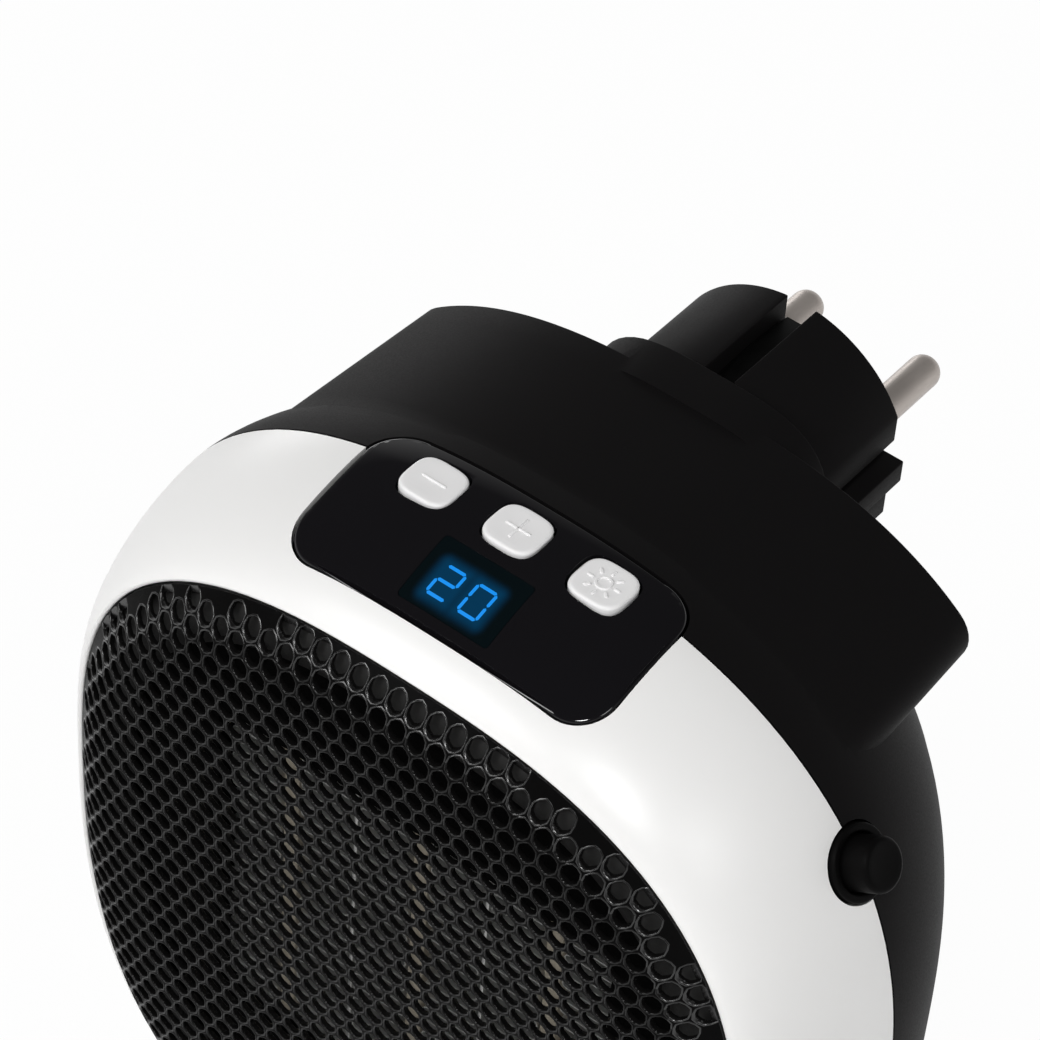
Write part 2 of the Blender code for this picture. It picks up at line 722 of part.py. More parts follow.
def block_solid(wall, front_y, rear_y):
    """The block or its hollow, drawn in by a wall all round."""
    def half_at(y):
        share = (y - BLOCK_REAR_Y) / (SEAM_Y - BLOCK_REAR_Y)
        return BLOCK_REAR_HALF + (BLOCK_FRONT_HALF - BLOCK_REAR_HALF) * share - wall

    floor_z = -BLOCK_FLOOR_DROP + wall
    radius = BLOCK_ROUND - wall
    return loft([
        block_loop(half_at(y), floor_z, radius, y) for y in (front_y, rear_y)])


def dome_solid(wall, front_y, rear_y, steps):
    loops = []
    for step in range(steps + 1):
        y = front_y + (rear_y - front_y) * step / steps
        half = dome_half(y, wall)
        loops.append(shell_loop(half, half, SEAM_POWER, y))
    return loft(loops)


def boss_solid(wall, front_y, rear_y):
    half = BOSS_HALF - wall
    return loft([squircle(half, half, BOSS_POWER, y, 0.0, 40) for y in (front_y, rear_y)])


def build_rear_housing(parent):
    front_y = SEAM_Y + GAP / 2
    housing = add_piece(
        "rear_housing", dome_solid(0.0, front_y, REAR_FLAT_Y, 8), "black_shell", parent)
    block = block_solid(0.0, SEAM_Y + OVERRUN, BLOCK_REAR_Y)
    combine(housing, add_tool("block_tool", block), "UNION")
    boss = boss_solid(0.0, BLOCK_REAR_Y - OVERRUN, BOSS_FACE_Y)
    combine(housing, add_tool("boss_tool", boss), "UNION")

    dome_hollow = add_tool(
        "dome_hollow_tool", dome_solid(WALL, SEAM_Y - OVERRUN, REAR_FLAT_Y - WALL, 8))
    block_hollow = block_solid(WALL, SEAM_Y + OVERRUN * 2, BLOCK_REAR_Y - WALL)
    combine(dome_hollow, add_tool("block_hollow_tool", block_hollow), "UNION")
    boss_hollow = boss_solid(BOSS_WALL, BLOCK_REAR_Y - OVERRUN * 2, BOSS_FACE_Y - BOSS_WALL)
    combine(dome_hollow, add_tool("boss_hollow_tool", boss_hollow), "UNION")
    posts = []
    bores = []
    seat_y = SEAM_Y + SCREW_SEAT_DEPTH
    for angle in POST_ANGLES:
        centre, _ = seam_point(math.radians(angle), WALL + POST_RADIUS - POST_SINK)
        posts.append(turned(
            [(POST_RADIUS, front_y), (POST_RADIUS, BOSS_FACE_Y)], centre.z, 20, centre.x))
        bores.append(turned([
            (SCREW_RADIUS + GAP, front_y - OVERRUN), (SCREW_RADIUS + GAP, seat_y),
            (SCREW_HEAD_RADIUS + GAP, seat_y), (SCREW_HEAD_RADIUS + GAP, BOSS_FACE_Y)],
            centre.z, 12, centre.x))
    combine(dome_hollow, add_tool("housing_post_tool", joined(posts)), "DIFFERENCE")
    combine(housing, dome_hollow, "DIFFERENCE")
    combine(housing, add_tool("housing_bore_tool", joined(bores)), "DIFFERENCE")

    swivel = turned([
        (NECK_RADIUS + GAP, BOSS_FACE_Y - BOSS_WALL - OVERRUN),
        (NECK_RADIUS + GAP, BOSS_FACE_Y + OVERRUN)], 0.0)
    combine(housing, add_tool("swivel_bore_tool", swivel), "DIFFERENCE")
    inlet = turned([
        (INLET_RADIUS, REAR_FLAT_Y - WALL - OVERRUN), (INLET_RADIUS, REAR_FLAT_Y + OVERRUN)],
        CENTRE_Z - INLET_OFFSET, 40)
    combine(housing, add_tool("inlet_tool", inlet), "DIFFERENCE")
    combine(housing, bpy.data.objects["panel_opening_tool"], "DIFFERENCE")
    combine(housing, bpy.data.objects["power_hole_tool"], "DIFFERENCE")


def build_screws(parent):
    """Screws from the back, through the housing's posts into the bezel's."""
    seat_y = SEAM_Y + SCREW_SEAT_DEPTH + GAP
    tip_y = SEAM_Y - SCREW_GRIP
    for index, angle in enumerate(POST_ANGLES, 1):
        centre, _ = seam_point(math.radians(angle), WALL + POST_RADIUS - POST_SINK)
        screw = turned([
            (SCREW_RADIUS, tip_y), (SCREW_RADIUS, seat_y),
            (SCREW_HEAD_RADIUS, seat_y), (SCREW_HEAD_RADIUS, seat_y + SCREW_HEAD_HEIGHT)],
            centre.z, 12, centre.x)
        add_piece(f"housing_screw_{index}", screw, "steel", parent)


# Front grille and rear inlet
def hexagon(centre_u, centre_v, across):
    radius = across / math.sqrt(3.0)
    steps = [math.tau * (index + 0.5) / 6 for index in range(6)]
    return [(centre_u + radius * math.cos(a), centre_v + radius * math.sin(a)) for a in steps]


def grille_holes():
    """Hexagonal openings in rows, as far out as the rim allows."""
    holes = []
    row_pitch = GRILLE_PITCH * math.sqrt(3.0) / 2
    rows = int(LIP_HALF_Z * LOWER_STRETCH / row_pitch) + 1
    columns = int(LIP_HALF_X / GRILLE_PITCH) + 1
    limit_x = LIP_HALF_X - GRILLE_MARGIN
    limit_z = LIP_HALF_Z - GRILLE_MARGIN
    for row in range(-rows, rows + 1):
        shift = GRILLE_PITCH / 2 if row % 2 else 0.0
        for column in range(-columns - 1, columns + 1):
            x = column * GRILLE_PITCH + shift
            z = row * row_pitch
            reach = (abs(x) / limit_x) ** LIP_POWER + (abs(drawn_up(z)) / limit_z) ** LIP_POWER
            if reach < 1.0:
                holes.append(hexagon(x, CENTRE_Z + z, GRILLE_PITCH * GRILLE_OPEN_SHARE))
    return holes


def build_grille(parent):
    half_x = LIP_HALF_X - GRILLE_INSET
    half_z = LIP_HALF_Z - GRILLE_INSET
    rim = [(point.x, point.z) for point in shell_loop(half_x, half_z, LIP_POWER, 0.0)]
    rim_keys = {(round(x, 7), round(z, 7)) for x, z in rim}

    def front(x, z, edge):
        return Vector((x, grille_surface(x, z), z))

    def back(x, z, edge):
        if (round(x, 7), round(z, 7)) in rim_keys:
            return Vector((x, LIP_Y + GRILLE_SKIRT, z))
        return Vector((x, grille_surface(x, z) + GRILLE_THICK, z))

    add_piece("front_grille", sheet(rim, grille_holes(), front, back), "black_grille", parent)


def slot_loop(start_u, end_u, centre_v, half):
    middle = (start_u + end_u) / 2
    return round_rectangle(middle, centre_v, (end_u - start_u) / 2, half, half / 2, 1)


def build_inlet_grille(parent):
    radius = INLET_RADIUS - GAP
    centre_z = CENTRE_Z - INLET_OFFSET
    slots = []
    rows = int((radius - SLOT_MARGIN) / SLOT_PITCH)
    for row in range(-rows, rows + 1):
        z = row * SLOT_PITCH
        room = (radius - SLOT_MARGIN) ** 2 - (abs(z) + SLOT_WIDTH / 2) ** 2
        if room <= (SLOT_SPINE + SLOT_WIDTH) ** 2:
            continue
        reach = math.sqrt(room)
        for side in (-1, 1):
            ends = sorted((side * SLOT_SPINE / 2, side * reach))
            slots.append(slot_loop(ends[0], ends[1], centre_z + z, SLOT_WIDTH / 2))
    outline = flat_circle(0.0, centre_z, radius, 40)
    plate = flat_plate(outline, slots, REAR_FLAT_Y - WALL, REAR_FLAT_Y)
    add_piece("inlet_grille", plate, "black_shell", parent)


# Control panel on top
def flat_squircle(centre_x, half_x, half_y, clearance, count=BUTTON_AROUND):
    loop = []
    for index in range(count):
        x, y = polar(BUTTON_POWER, half_x + clearance, half_y + clearance,
                     math.tau * index / count)
        loop.append((centre_x + x, BUTTON_Y + y))
    return loop


def window_outline(clearance):
    return round_rectangle(
        WINDOW_SHIFT, WINDOW_Y, WINDOW_WIDTH / 2 + clearance, WINDOW_LENGTH / 2 + clearance,
        GAP * 2, 1)


def skin_sheet(outline, holes, depth_top, depth_low):
    """A plate that follows the shells' top skin between two depths below it."""
    lines_x = [
        PANEL_SHIFT + PANEL_HALF_X * (2 * step / SKIN_COLUMNS - 1) for step in range(1, SKIN_COLUMNS)]
    lines_y = [PANEL_FRONT_Y + PANEL_LENGTH * step / SKIN_ROWS for step in range(1, SKIN_ROWS)]
    return sheet(
        outline, holes,
        lambda x, y, edge: Vector((x, y, top_surface(x, y) - depth_top)),
        lambda x, y, edge: Vector((x, y, top_surface(x, y) - depth_low)),
        lines_x, lines_y)


def button_places():
    names = ("button_minus", "button_plus", "button_mode")
    return [(name, PANEL_SHIFT + BUTTON_PITCH * (index - 1)) for index, name in enumerate(names)]


def build_panel(parent):
    holes = [flat_squircle(x, BUTTON_HALF_X, BUTTON_HALF_Y, GAP) for _, x in button_places()]
    holes.append(window_outline(GAP))
    panel = skin_sheet(panel_outline(0.0), holes, 0.0, PANEL_WALL)
    add_piece("control_panel", panel, "gloss_panel", parent)
    window = skin_sheet(window_outline(0.0), [], 0.0, PANEL_WALL)
    add_piece("display_window", window, "gloss_panel", parent)


def build_button(name, x, parent):
    """A cap in the panel with a stem that reaches down to its switch."""
    base_z = top_surface(x, BUTTON_Y)
    top_z = base_z + BUTTON_PROUD
    cap_low = base_z - PANEL_WALL
    switch_top = CONTROL_BOARD_Z + GAP + SWITCH_HEIGHT
    stem_low = switch_top + BUTTON_TRAVEL + GAP
    sections = [
        (BUTTON_STEM_RADIUS, BUTTON_STEM_RADIUS, 2.0, stem_low),
        (BUTTON_STEM_RADIUS, BUTTON_STEM_RADIUS, 2.0, cap_low),
        (BUTTON_HALF_X, BUTTON_HALF_Y, BUTTON_POWER, cap_low),
        (BUTTON_HALF_X, BUTTON_HALF_Y, BUTTON_POWER, top_z - BUTTON_BEVEL),
        (BUTTON_HALF_X - BUTTON_BEVEL, BUTTON_HALF_Y - BUTTON_BEVEL, BUTTON_POWER, top_z)]
    loops = []
    for half_x, half_y, power, z in sections:
        loop = []
        for index in range(BUTTON_AROUND):
            dx, dy = polar(power, half_x, half_y, math.tau * index / BUTTON_AROUND)
            loop.append(Vector((x + dx, BUTTON_Y + dy, z)))
        loops.append(loop)
    add_piece(name, loft(loops), "button_white", parent, (x, BUTTON_Y, base_z))


def build_controls(parent):
    for name, x in button_places():
        build_button(name, x, parent)
        low = CONTROL_BOARD_Z + GAP
        switch = box(
            (x - SWITCH_HALF, BUTTON_Y - SWITCH_HALF, low),
            (x + SWITCH_HALF, BUTTON_Y + SWITCH_HALF, low + SWITCH_HEIGHT))
        add_piece(name.replace("button", "switch"), switch, "black_shell", parent)
    front_y = PANEL_FRONT_Y + CONTROL_BOARD_MARGIN
    rear_y = PANEL_REAR_Y - CONTROL_BOARD_MARGIN
    board = box(
        (PANEL_SHIFT - CONTROL_BOARD_HALF_X, front_y, CONTROL_BOARD_Z - BOARD_THICK),
        (PANEL_SHIFT + CONTROL_BOARD_HALF_X, rear_y, CONTROL_BOARD_Z))
    add_piece("control_board", board, "board_green", parent)

    half_x = WINDOW_WIDTH / 2 + DISPLAY_RIM
    half_y = WINDOW_LENGTH / 2
    outline = round_rectangle(WINDOW_SHIFT, WINDOW_Y, half_x, half_y, GAP, 1)
    depth = PANEL_WALL + GAP
    module = sheet(
        outline, [],
        lambda x, y, edge: Vector((x, y, CONTROL_BOARD_Z + GAP)),
        lambda x, y, edge: Vector((x, y, top_surface(x, y) - depth)))
    add_piece("display_module", module, "black_shell", parent)


# Power button at the side
def build_power_button(parent):
    inner = SOCKET_RADIUS - SOCKET_WALL
    knob = inner - GAP
    stem = POWER_STEM_RADIUS
    floor = -SOCKET_DEPTH + SOCKET_FLOOR
    socket = in_power_frame([
        level_circle(SOCKET_RADIUS, SOCKET_PROUD), level_circle(inner, SOCKET_PROUD),
        level_circle(inner, floor), level_circle(stem + GAP, floor),
        level_circle(stem + GAP, -SOCKET_DEPTH), level_circle(SOCKET_RADIUS, -SOCKET_DEPTH)],
        closed=True)
    add_piece("power_socket", socket, "black_shell", parent)

    knob_low = floor + POWER_TRAVEL + GAP
    bevel = BUTTON_BEVEL
    stem_low = -SOCKET_DEPTH - POWER_STEM_REACH
    cap = in_power_frame([
        level_circle(stem, stem_low), level_circle(stem, knob_low),
        level_circle(knob, knob_low), level_circle(knob, POWER_KNOB_PROUD - bevel),
        level_circle(knob - bevel, POWER_KNOB_PROUD)])
    add_piece("power_button", cap, "black_shell", parent, power_frame().translation)

    top = -SOCKET_DEPTH - GAP
    well_low = stem_low - POWER_TRAVEL - GAP
    half = POWER_SWITCH_HALF
    bottom = min(top - POWER_SWITCH_DEPTH, well_low - GAP * 2)
    count = FINE_AROUND
    square = [point.copy() for point in level_rectangle(half, half, top, count)]
    square_low = [Vector((point.x, point.y, bottom)) for point in square]
    switch = in_power_frame([
        level_circle(stem + GAP, well_low, count), level_circle(stem + GAP, top, count),
        square, square_low])
    add_piece("power_switch", switch, "black_shell", parent)


def level_rectangle(half_x, half_y, z, count):
    flat = rectangle(half_x, half_y, 0.0, 0.0, count)
    return [Vector((point.x, point.z, z)) for point in flat]


# Heating core
def fin_pack(centre_x):
    """One folded fin between two plates, drawn as a ribbon that zigzags up the core."""
    folds = max(2, round(CORE_HEIGHT / FIN_PITCH) * 2)
    rise = CORE_HEIGHT / folds
    bend = FIN_THICK / 2 * math.hypot(FIN_WIDTH, rise) / rise
    swing = FIN_WIDTH / 2 - bend
    loops = []
    for index in range(folds + 1):
        x = centre_x + (swing if index % 2 else -swing)
        z = CORE_Z - CORE_HEIGHT / 2 + rise * index
        loops.append([
            Vector((x - bend, CORE_FRONT_Y, z)), Vector((x + bend, CORE_FRONT_Y, z)),
            Vector((x + bend, CORE_BACK_Y, z)), Vector((x - bend, CORE_BACK_Y, z))])
    return loft(loops)


def build_core(parent):
    low_z = CORE_Z - CORE_HEIGHT / 2
    high_z = CORE_Z + CORE_HEIGHT / 2
    fin_shift = STRIP_THICK / 2 + GAP + FIN_WIDTH / 2
    for index in range(STRIP_COUNT):
        x = (index - (STRIP_COUNT - 1) / 2) * STRIP_PITCH
        strip = box(
            (x - STRIP_THICK / 2, CORE_FRONT_Y, low_z), (x + STRIP_THICK / 2, CORE_BACK_Y, high_z))
        add_piece(f"ptc_strip_{index + 1}", strip, "ceramic", parent)
        for side in (-1, 1):
            number = index * 2 + (2 if side > 0 else 1)
            add_piece(f"fin_pack_{number}", fin_pack(x + side * fin_shift), "aluminium_fin", parent)
    for index in range(STRIP_COUNT - 1):
        x = (index - (STRIP_COUNT - 2) / 2) * STRIP_PITCH
        plate = box(
            (x - DIVIDER_THICK / 2, CORE_FRONT_Y, low_z),
            (x + DIVIDER_THICK / 2, CORE_BACK_Y, high_z))
        add_piece(f"divider_plate_{index + 1}", plate, "aluminium_fin", parent)


def build_core_frame(parent):
    """Baffle behind the grille and the duct walls round the core, in one moulding."""
    plate_back = FRAME_FRONT_Y + BAFFLE_THICK
    rim_x = LIP_HALF_X - GRILLE_INSET
    rim_z = LIP_HALF_Z - GRILLE_INSET
    outer_x = FRAME_HALF_X + FRAME_WALL
    outer_z = FRAME_HALF_Z + FRAME_WALL
    loops = [
        shell_loop(rim_x, rim_z, LIP_POWER, FRAME_FRONT_Y),
        shell_loop(rim_x, rim_z, LIP_POWER, plate_back),
        rectangle(outer_x, outer_z, plate_back, CORE_Z),
        rectangle(outer_x, outer_z, FRAME_BACK_Y, CORE_Z),
        rectangle(FRAME_HALF_X, FRAME_HALF_Z, FRAME_BACK_Y, CORE_Z),
        rectangle(FRAME_HALF_X, FRAME_HALF_Z, FRAME_FRONT_Y, CORE_Z)]
    add_piece("core_frame", loft(loops, closed=True), "black_shell", parent)
    seat_z = CORE_Z + outer_z + GAP
    middle_y = (plate_back + FRAME_BACK_Y) / 2
    loops = []
    for z in (seat_z, seat_z + CUTOUT_HEIGHT):
        loops.append([point + Vector((0.0, middle_y, 0.0))
                      for point in level_circle(CUTOUT_RADIUS, z, 20)])
    add_piece("thermal_cutout", loft(loops), "steel", parent)


# Fan and motor
def blade(turn):
    """One twisted blade, thin sections from hub to tip."""
    steps = 4
    loops = []
    start = FAN_HUB_RADIUS - BLADE_SINK
    front = FAN_FRONT_Y + BLADE_END_CLEAR
    back = FAN_BACK_Y - BLADE_END_CLEAR
    for step in range(steps + 1):
        share = step / steps
        radius = start + (FAN_RADIUS - start) * share
        sweep = math.radians(BLADE_ROOT_SWEEP + (BLADE_TIP_SWEEP - BLADE_ROOT_SWEEP) * share)
        half_angle = sweep / 2
        thick = BLADE_THICK / radius / 2
        corners = (
            (-half_angle - thick, front), (-half_angle + thick, front),
            (half_angle + thick, back), (half_angle - thick, back))
        loop = []
        for angle, y in corners:
            around = turn + angle
            loop.append(Vector((radius * math.cos(around), y, CORE_Z + radius * math.sin(around))))
        loops.append(loop)
    return loft(loops)


def build_fan(parent):
    bore = SHAFT_RADIUS + GAP
    hub_mesh = loft([
        circle(bore, FAN_FRONT_Y, CORE_Z), circle(FAN_HUB_RADIUS, FAN_FRONT_Y, CORE_Z),
        circle(FAN_HUB_RADIUS, FAN_BACK_Y, CORE_Z), circle(bore, FAN_BACK_Y, CORE_Z)],
        closed=True)
    centre = (0.0, FAN_FRONT_Y, CORE_Z)
    fan = add_piece("fan_impeller", hub_mesh, "black_shell", parent, centre)
    blades = [blade(math.tau * index / FAN_BLADES) for index in range(FAN_BLADES)]
    combine(fan, add_tool("blade_tool", joined(blades)), "UNION")
    bore_end = MOTOR_FRONT_Y + (MOTOR_BACK_Y - MOTOR_FRONT_Y) * MOTOR_BORE_SHARE
    shaft = turned(
        [(SHAFT_RADIUS, FAN_FRONT_Y), (SHAFT_RADIUS, bore_end - GAP)], CORE_Z, 12)
    add_piece("motor_shaft", shaft, "steel", parent, centre)


def build_duct(parent):
    """Round duct with a flange that closes against the core frame, and rails for the board."""
    flange_back = DUCT_FRONT_Y + DUCT_FLANGE
    loops = [
        circle(DUCT_FLANGE_RADIUS, DUCT_FRONT_Y, CORE_Z, 48),
        circle(DUCT_FLANGE_RADIUS, flange_back, CORE_Z, 48),
        circle(DUCT_OUTER, flange_back, CORE_Z, 48), circle(DUCT_OUTER, DUCT_BACK_Y, CORE_Z, 48),
        circle(DUCT_INNER, DUCT_BACK_Y, CORE_Z, 48), circle(DUCT_INNER, DUCT_FRONT_Y, CORE_Z, 48)]
    duct = add_piece("air_duct", loft(loops, closed=True), "black_shell", parent)
    outer_x = RAIL_HALF_SPACING + RAIL_THICK / 2
    inner_x = RAIL_HALF_SPACING - RAIL_THICK / 2
    middle_radius = DUCT_INNER + DUCT_WALL / 2
    low_z = CORE_Z + math.sqrt(middle_radius ** 2 - outer_x ** 2)
    rails = []
    for side in (-1, 1):
        ends = sorted((side * inner_x, side * outer_x))
        rails.append(box(
            (ends[0], flange_back + RAIL_MARGIN, low_z),
            (ends[1], DUCT_BACK_Y - RAIL_MARGIN, board_low() - GAP)))
    combine(duct, add_tool("rail_tool", joined(rails)), "UNION")


def sector(centre_z, inner, outer, start, end, steps=6):
    """A window between two radii, its ends parallel to the arms beside it."""
    arm_inner = math.asin(BRACKET_ARM_HALF / inner)
    arm_outer = math.asin(BRACKET_ARM_HALF / outer)
    points = []
    for step in range(steps + 1):
        angle = start + arm_outer + (end - start - 2 * arm_outer) * step / steps
        points.append((outer * math.cos(angle), centre_z + outer * math.sin(angle)))
    for step in range(steps + 1):
        angle = end - arm_inner - (end - start - 2 * arm_inner) * step / steps
        points.append((inner * math.cos(angle), centre_z + inner * math.sin(angle)))
    return points


def build_motor(parent):
    arms = 3
    windows = []
    for index in range(arms):
        start = math.pi / 2 + math.tau * index / arms
        end = start + math.tau / arms
        windows.append(sector(CORE_Z, BRACKET_HUB, DUCT_OUTER - BRACKET_RIM, start, end))
    windows.append(flat_circle(0.0, CORE_Z, MOTOR_NOSE_RADIUS + GAP, 16))
    outline = flat_circle(0.0, CORE_Z, DUCT_OUTER, 48)
    plate = flat_plate(outline, windows, BRACKET_FRONT_Y, BRACKET_BACK_Y)
    add_piece("motor_bracket", plate, "black_shell", parent)
    bore = SHAFT_RADIUS + GAP
    bore_end = MOTOR_FRONT_Y + (MOTOR_BACK_Y - MOTOR_FRONT_Y) * MOTOR_BORE_SHARE
    nose_y = BRACKET_FRONT_Y + GAP
    motor = turned([
        (bore, bore_end), (bore, nose_y), (MOTOR_NOSE_RADIUS, nose_y),
        (MOTOR_NOSE_RADIUS, MOTOR_FRONT_Y), (MOTOR_RADIUS, MOTOR_FRONT_Y),
        (MOTOR_RADIUS, MOTOR_BACK_Y)], CORE_Z)
    add_piece("fan_motor", motor, "steel", parent)


# Power board above the duct
def board_low():
    return CORE_Z + DUCT_OUTER + RAIL_HEIGHT


def build_power_board(parent):
    low = board_low()
    high = low + BOARD_THICK
    rear_y = SPIGOT_END_Y - POWER_BOARD_CLEAR
    front_y = rear_y - POWER_BOARD_LENGTH
    board = box((-POWER_BOARD_HALF_X, front_y, low), (POWER_BOARD_HALF_X, rear_y, high))
    add_piece("power_board", board, "board_green", parent)
    middle_y = (front_y + rear_y) / 2
    relay = box(
        (RELAY_SHIFT - RELAY_HALF_X, middle_y - RELAY_HALF_Y, high + GAP),
        (RELAY_SHIFT + RELAY_HALF_X, middle_y + RELAY_HALF_Y, high + GAP + RELAY_HEIGHT))
    add_piece("power_relay", relay, "relay_blue", parent)
    loops = []
    for z in (high + GAP, high + GAP + SENSOR_HEIGHT):
        loops.append([point + Vector((SENSOR_SHIFT, middle_y, 0.0))
                      for point in level_circle(SENSOR_RADIUS, z, 16)])
    add_piece("temperature_sensor", loft(loops), "black_shell", parent)


def main():
    clear_scene()
    build_plug()
    build_retainer()
    heater = add_empty("heater_swivel", (0.0, 0.0, 0.0))
    axle = add_empty("fan_axle", (0.0, FAN_FRONT_Y, CORE_Z), heater)
    add_tool("panel_opening_tool", panel_opening())
    add_tool("power_hole_tool", power_hole())
    build_bezel(heater)
    build_rear_housing(heater)
    build_screws(heater)
    build_grille(heater)
    build_inlet_grille(heater)
    build_panel(heater)
    build_controls(heater)
    build_power_button(heater)
    build_core(heater)
    build_core_frame(heater)
    build_fan(axle)
    build_duct(heater)
    build_motor(heater)
    build_power_board(heater)


main()
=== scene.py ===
# Plug-in fan heater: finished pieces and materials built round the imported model.
# Lengths in the dictionaries are millimetres, turned into metres when a piece is made.
from math import acos, atan2, copysign, cos, pi, radians, sin, sqrt, tau

import bmesh
import bpy
from mathutils import Matrix, Vector


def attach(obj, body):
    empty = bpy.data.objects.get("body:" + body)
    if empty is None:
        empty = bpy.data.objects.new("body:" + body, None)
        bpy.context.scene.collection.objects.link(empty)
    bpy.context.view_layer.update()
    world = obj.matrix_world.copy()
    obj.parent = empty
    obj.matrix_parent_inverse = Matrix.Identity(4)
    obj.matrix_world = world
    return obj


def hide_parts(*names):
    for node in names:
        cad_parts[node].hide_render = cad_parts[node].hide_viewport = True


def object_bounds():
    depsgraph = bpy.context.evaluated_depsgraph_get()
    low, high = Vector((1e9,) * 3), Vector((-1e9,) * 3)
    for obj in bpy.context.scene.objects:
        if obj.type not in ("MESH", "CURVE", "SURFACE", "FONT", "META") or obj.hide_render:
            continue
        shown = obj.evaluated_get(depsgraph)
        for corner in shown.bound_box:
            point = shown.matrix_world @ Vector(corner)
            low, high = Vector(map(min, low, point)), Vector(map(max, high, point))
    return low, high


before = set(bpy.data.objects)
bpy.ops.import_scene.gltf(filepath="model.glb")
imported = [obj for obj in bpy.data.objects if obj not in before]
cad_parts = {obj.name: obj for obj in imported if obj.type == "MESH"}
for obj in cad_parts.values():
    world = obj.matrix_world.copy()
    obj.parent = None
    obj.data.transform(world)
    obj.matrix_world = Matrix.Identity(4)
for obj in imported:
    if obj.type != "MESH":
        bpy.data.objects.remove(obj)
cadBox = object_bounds()
mm = 0.001
print("frame loaded:", len(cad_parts), "nodes")

# The rounded-square shells, shared by most outer pieces
shell = {
    "centreZ": -40.27, "wall": 2.2, "gap": 0.3, "around": 176,
    "seamY": -57.0, "seamHalf": 61.1, "seamPower": 2.524,
    "lipY": -79.35, "lipHalfX": 53.4, "lipHalfZ": 52.1, "lipPower": 2.687,
    "ringDepth": 22.35, "ringCurve": 1.56,
    "domeDepth": 55.5, "domeCurve": 1.72, "domeEndY": -21.3, "lowerReach": 13.4,
}
shell["stretch"] = 1.0 + shell["lowerReach"] / shell["seamHalf"]


def take(spec, names):
    return [spec[name] for name in names.split()]


centreZ, gap, lipY, seamY, seamHalf, seamPower, domeEndY = take(
    shell, "centreZ gap lipY seamY seamHalf seamPower domeEndY")


def blend(low, high, share):
    return low + (high - low) * share


def evenly(low, high, steps):
    return [low + (high - low) * step / steps for step in range(steps + 1)]


def turns(count):
    # even angles round a full circle
    return [tau * index / count for index in range(count)]


def quarter(steps):
    # angles from 0 to a right angle
    return evenly(0.0, pi / 2, steps)


def polarPoint(power, halfX, halfZ, angle):
    across = (abs(cos(angle)) / halfX) ** power
    up = (abs(sin(angle)) / halfZ) ** power
    reach = (across + up) ** (-1.0 / power)
    return reach * cos(angle), reach * sin(angle)


def squareLoop(halfX, halfZ, power, y, midZ=centreZ, count=shell["around"]):
    points = [polarPoint(power, halfX, halfZ, angle) for angle in turns(count)]
    return [Vector((x, y, midZ + z)) for x, z in points]


def drawnDown(z):
    # below its middle the heater reaches further
    return z * shell["stretch"] if z < 0 else z


def shellLoop(halfX, halfZ, power, y):
    loop = squareLoop(halfX, halfZ, power, y)
    return [Vector((point.x, y, centreZ + drawnDown(point.z - centreZ))) for point in loop]


def roundLoop(radius, y, midZ=0.0, midX=0.0, count=64):
    return [Vector((midX + radius * cos(a), y, midZ + radius * sin(a))) for a in turns(count)]


def levelLoop(radius, z, count=64):
    return [Vector((radius * cos(a), radius * sin(a), z)) for a in turns(count)]


def flatLoop(outline, y):
    return [Vector((x, y, z)) for x, z in outline]


def ringSection(growth, inset=0.0):
    # growth runs from 0 at the lip to 1 at the seam
    halfX, halfZ, power = take(shell, "lipHalfX lipHalfZ lipPower")
    return (
        blend(halfX, seamHalf, growth) - inset, blend(halfZ, seamHalf, growth) - inset,
        blend(power, seamPower, growth))


def ringGrowth(share):
    curve = shell["ringCurve"]
    return (1.0 - (1.0 - share) ** curve) ** (1.0 / curve)


def domeHalf(y, inset=0.0):
    share = max(0.0, (y - seamY) / shell["domeDepth"])
    curve = shell["domeCurve"]
    core = 1.0 - share ** curve
    half = seamHalf * core ** (1.0 / curve)
    if not inset:
        return half
    slope = -seamHalf / shell["domeDepth"] * share ** (curve - 1) * core ** (1.0 / curve - 1)
    return half - inset * sqrt(1.0 + slope * slope)


def topHeight(x, y):
    if y < seamY:
        share = max(0.0, (y - lipY) / shell["ringDepth"])
        halfX, halfZ, power = ringSection(ringGrowth(share))
    else:
        halfX = halfZ = domeHalf(y)
        power = seamPower
    return centreZ + halfZ * (1.0 - (abs(x) / halfX) ** power) ** (1.0 / power)


# Mesh tools
def bandFaces(loops):
    # four-sided faces between each loop and the next
    faces = []
    for first, second in zip(loops, loops[1:]):
        for index in range(len(first)):
            after = (index + 1) % len(first)
            faces.append((first[index], first[after], second[after], second[index]))
    return faces


def loftLoops(loops, closed=False):
    mesh = bmesh.new()
    rings = [[mesh.verts.new(point) for point in loop] for loop in loops]
    faces = bandFaces(rings + rings[:1]) if closed else bandFaces(rings) + [rings[0][::-1], rings[-1]]
    for face in faces:
        mesh.faces.new(face)
    return mesh


def turnedMesh(profile, midZ=0.0, midX=0.0, count=64, closed=False):
    return loftLoops([roundLoop(radius, y, midZ, midX, count) for radius, y in profile], closed)


def addMesh(target, extra):
    # joins a second bmesh into the first
    data = bpy.data.meshes.new("part")
    extra.to_mesh(data)
    extra.free()
    target.from_mesh(data)
    bpy.data.meshes.remove(data)


def joinMeshes(meshes):
    whole = bmesh.new()
    for mesh in meshes:
        addMesh(whole, mesh)
    return whole


def addToScene(name, data):
    made = bpy.data.objects.new(name, data)
    bpy.context.scene.collection.objects.link(made)
    return made


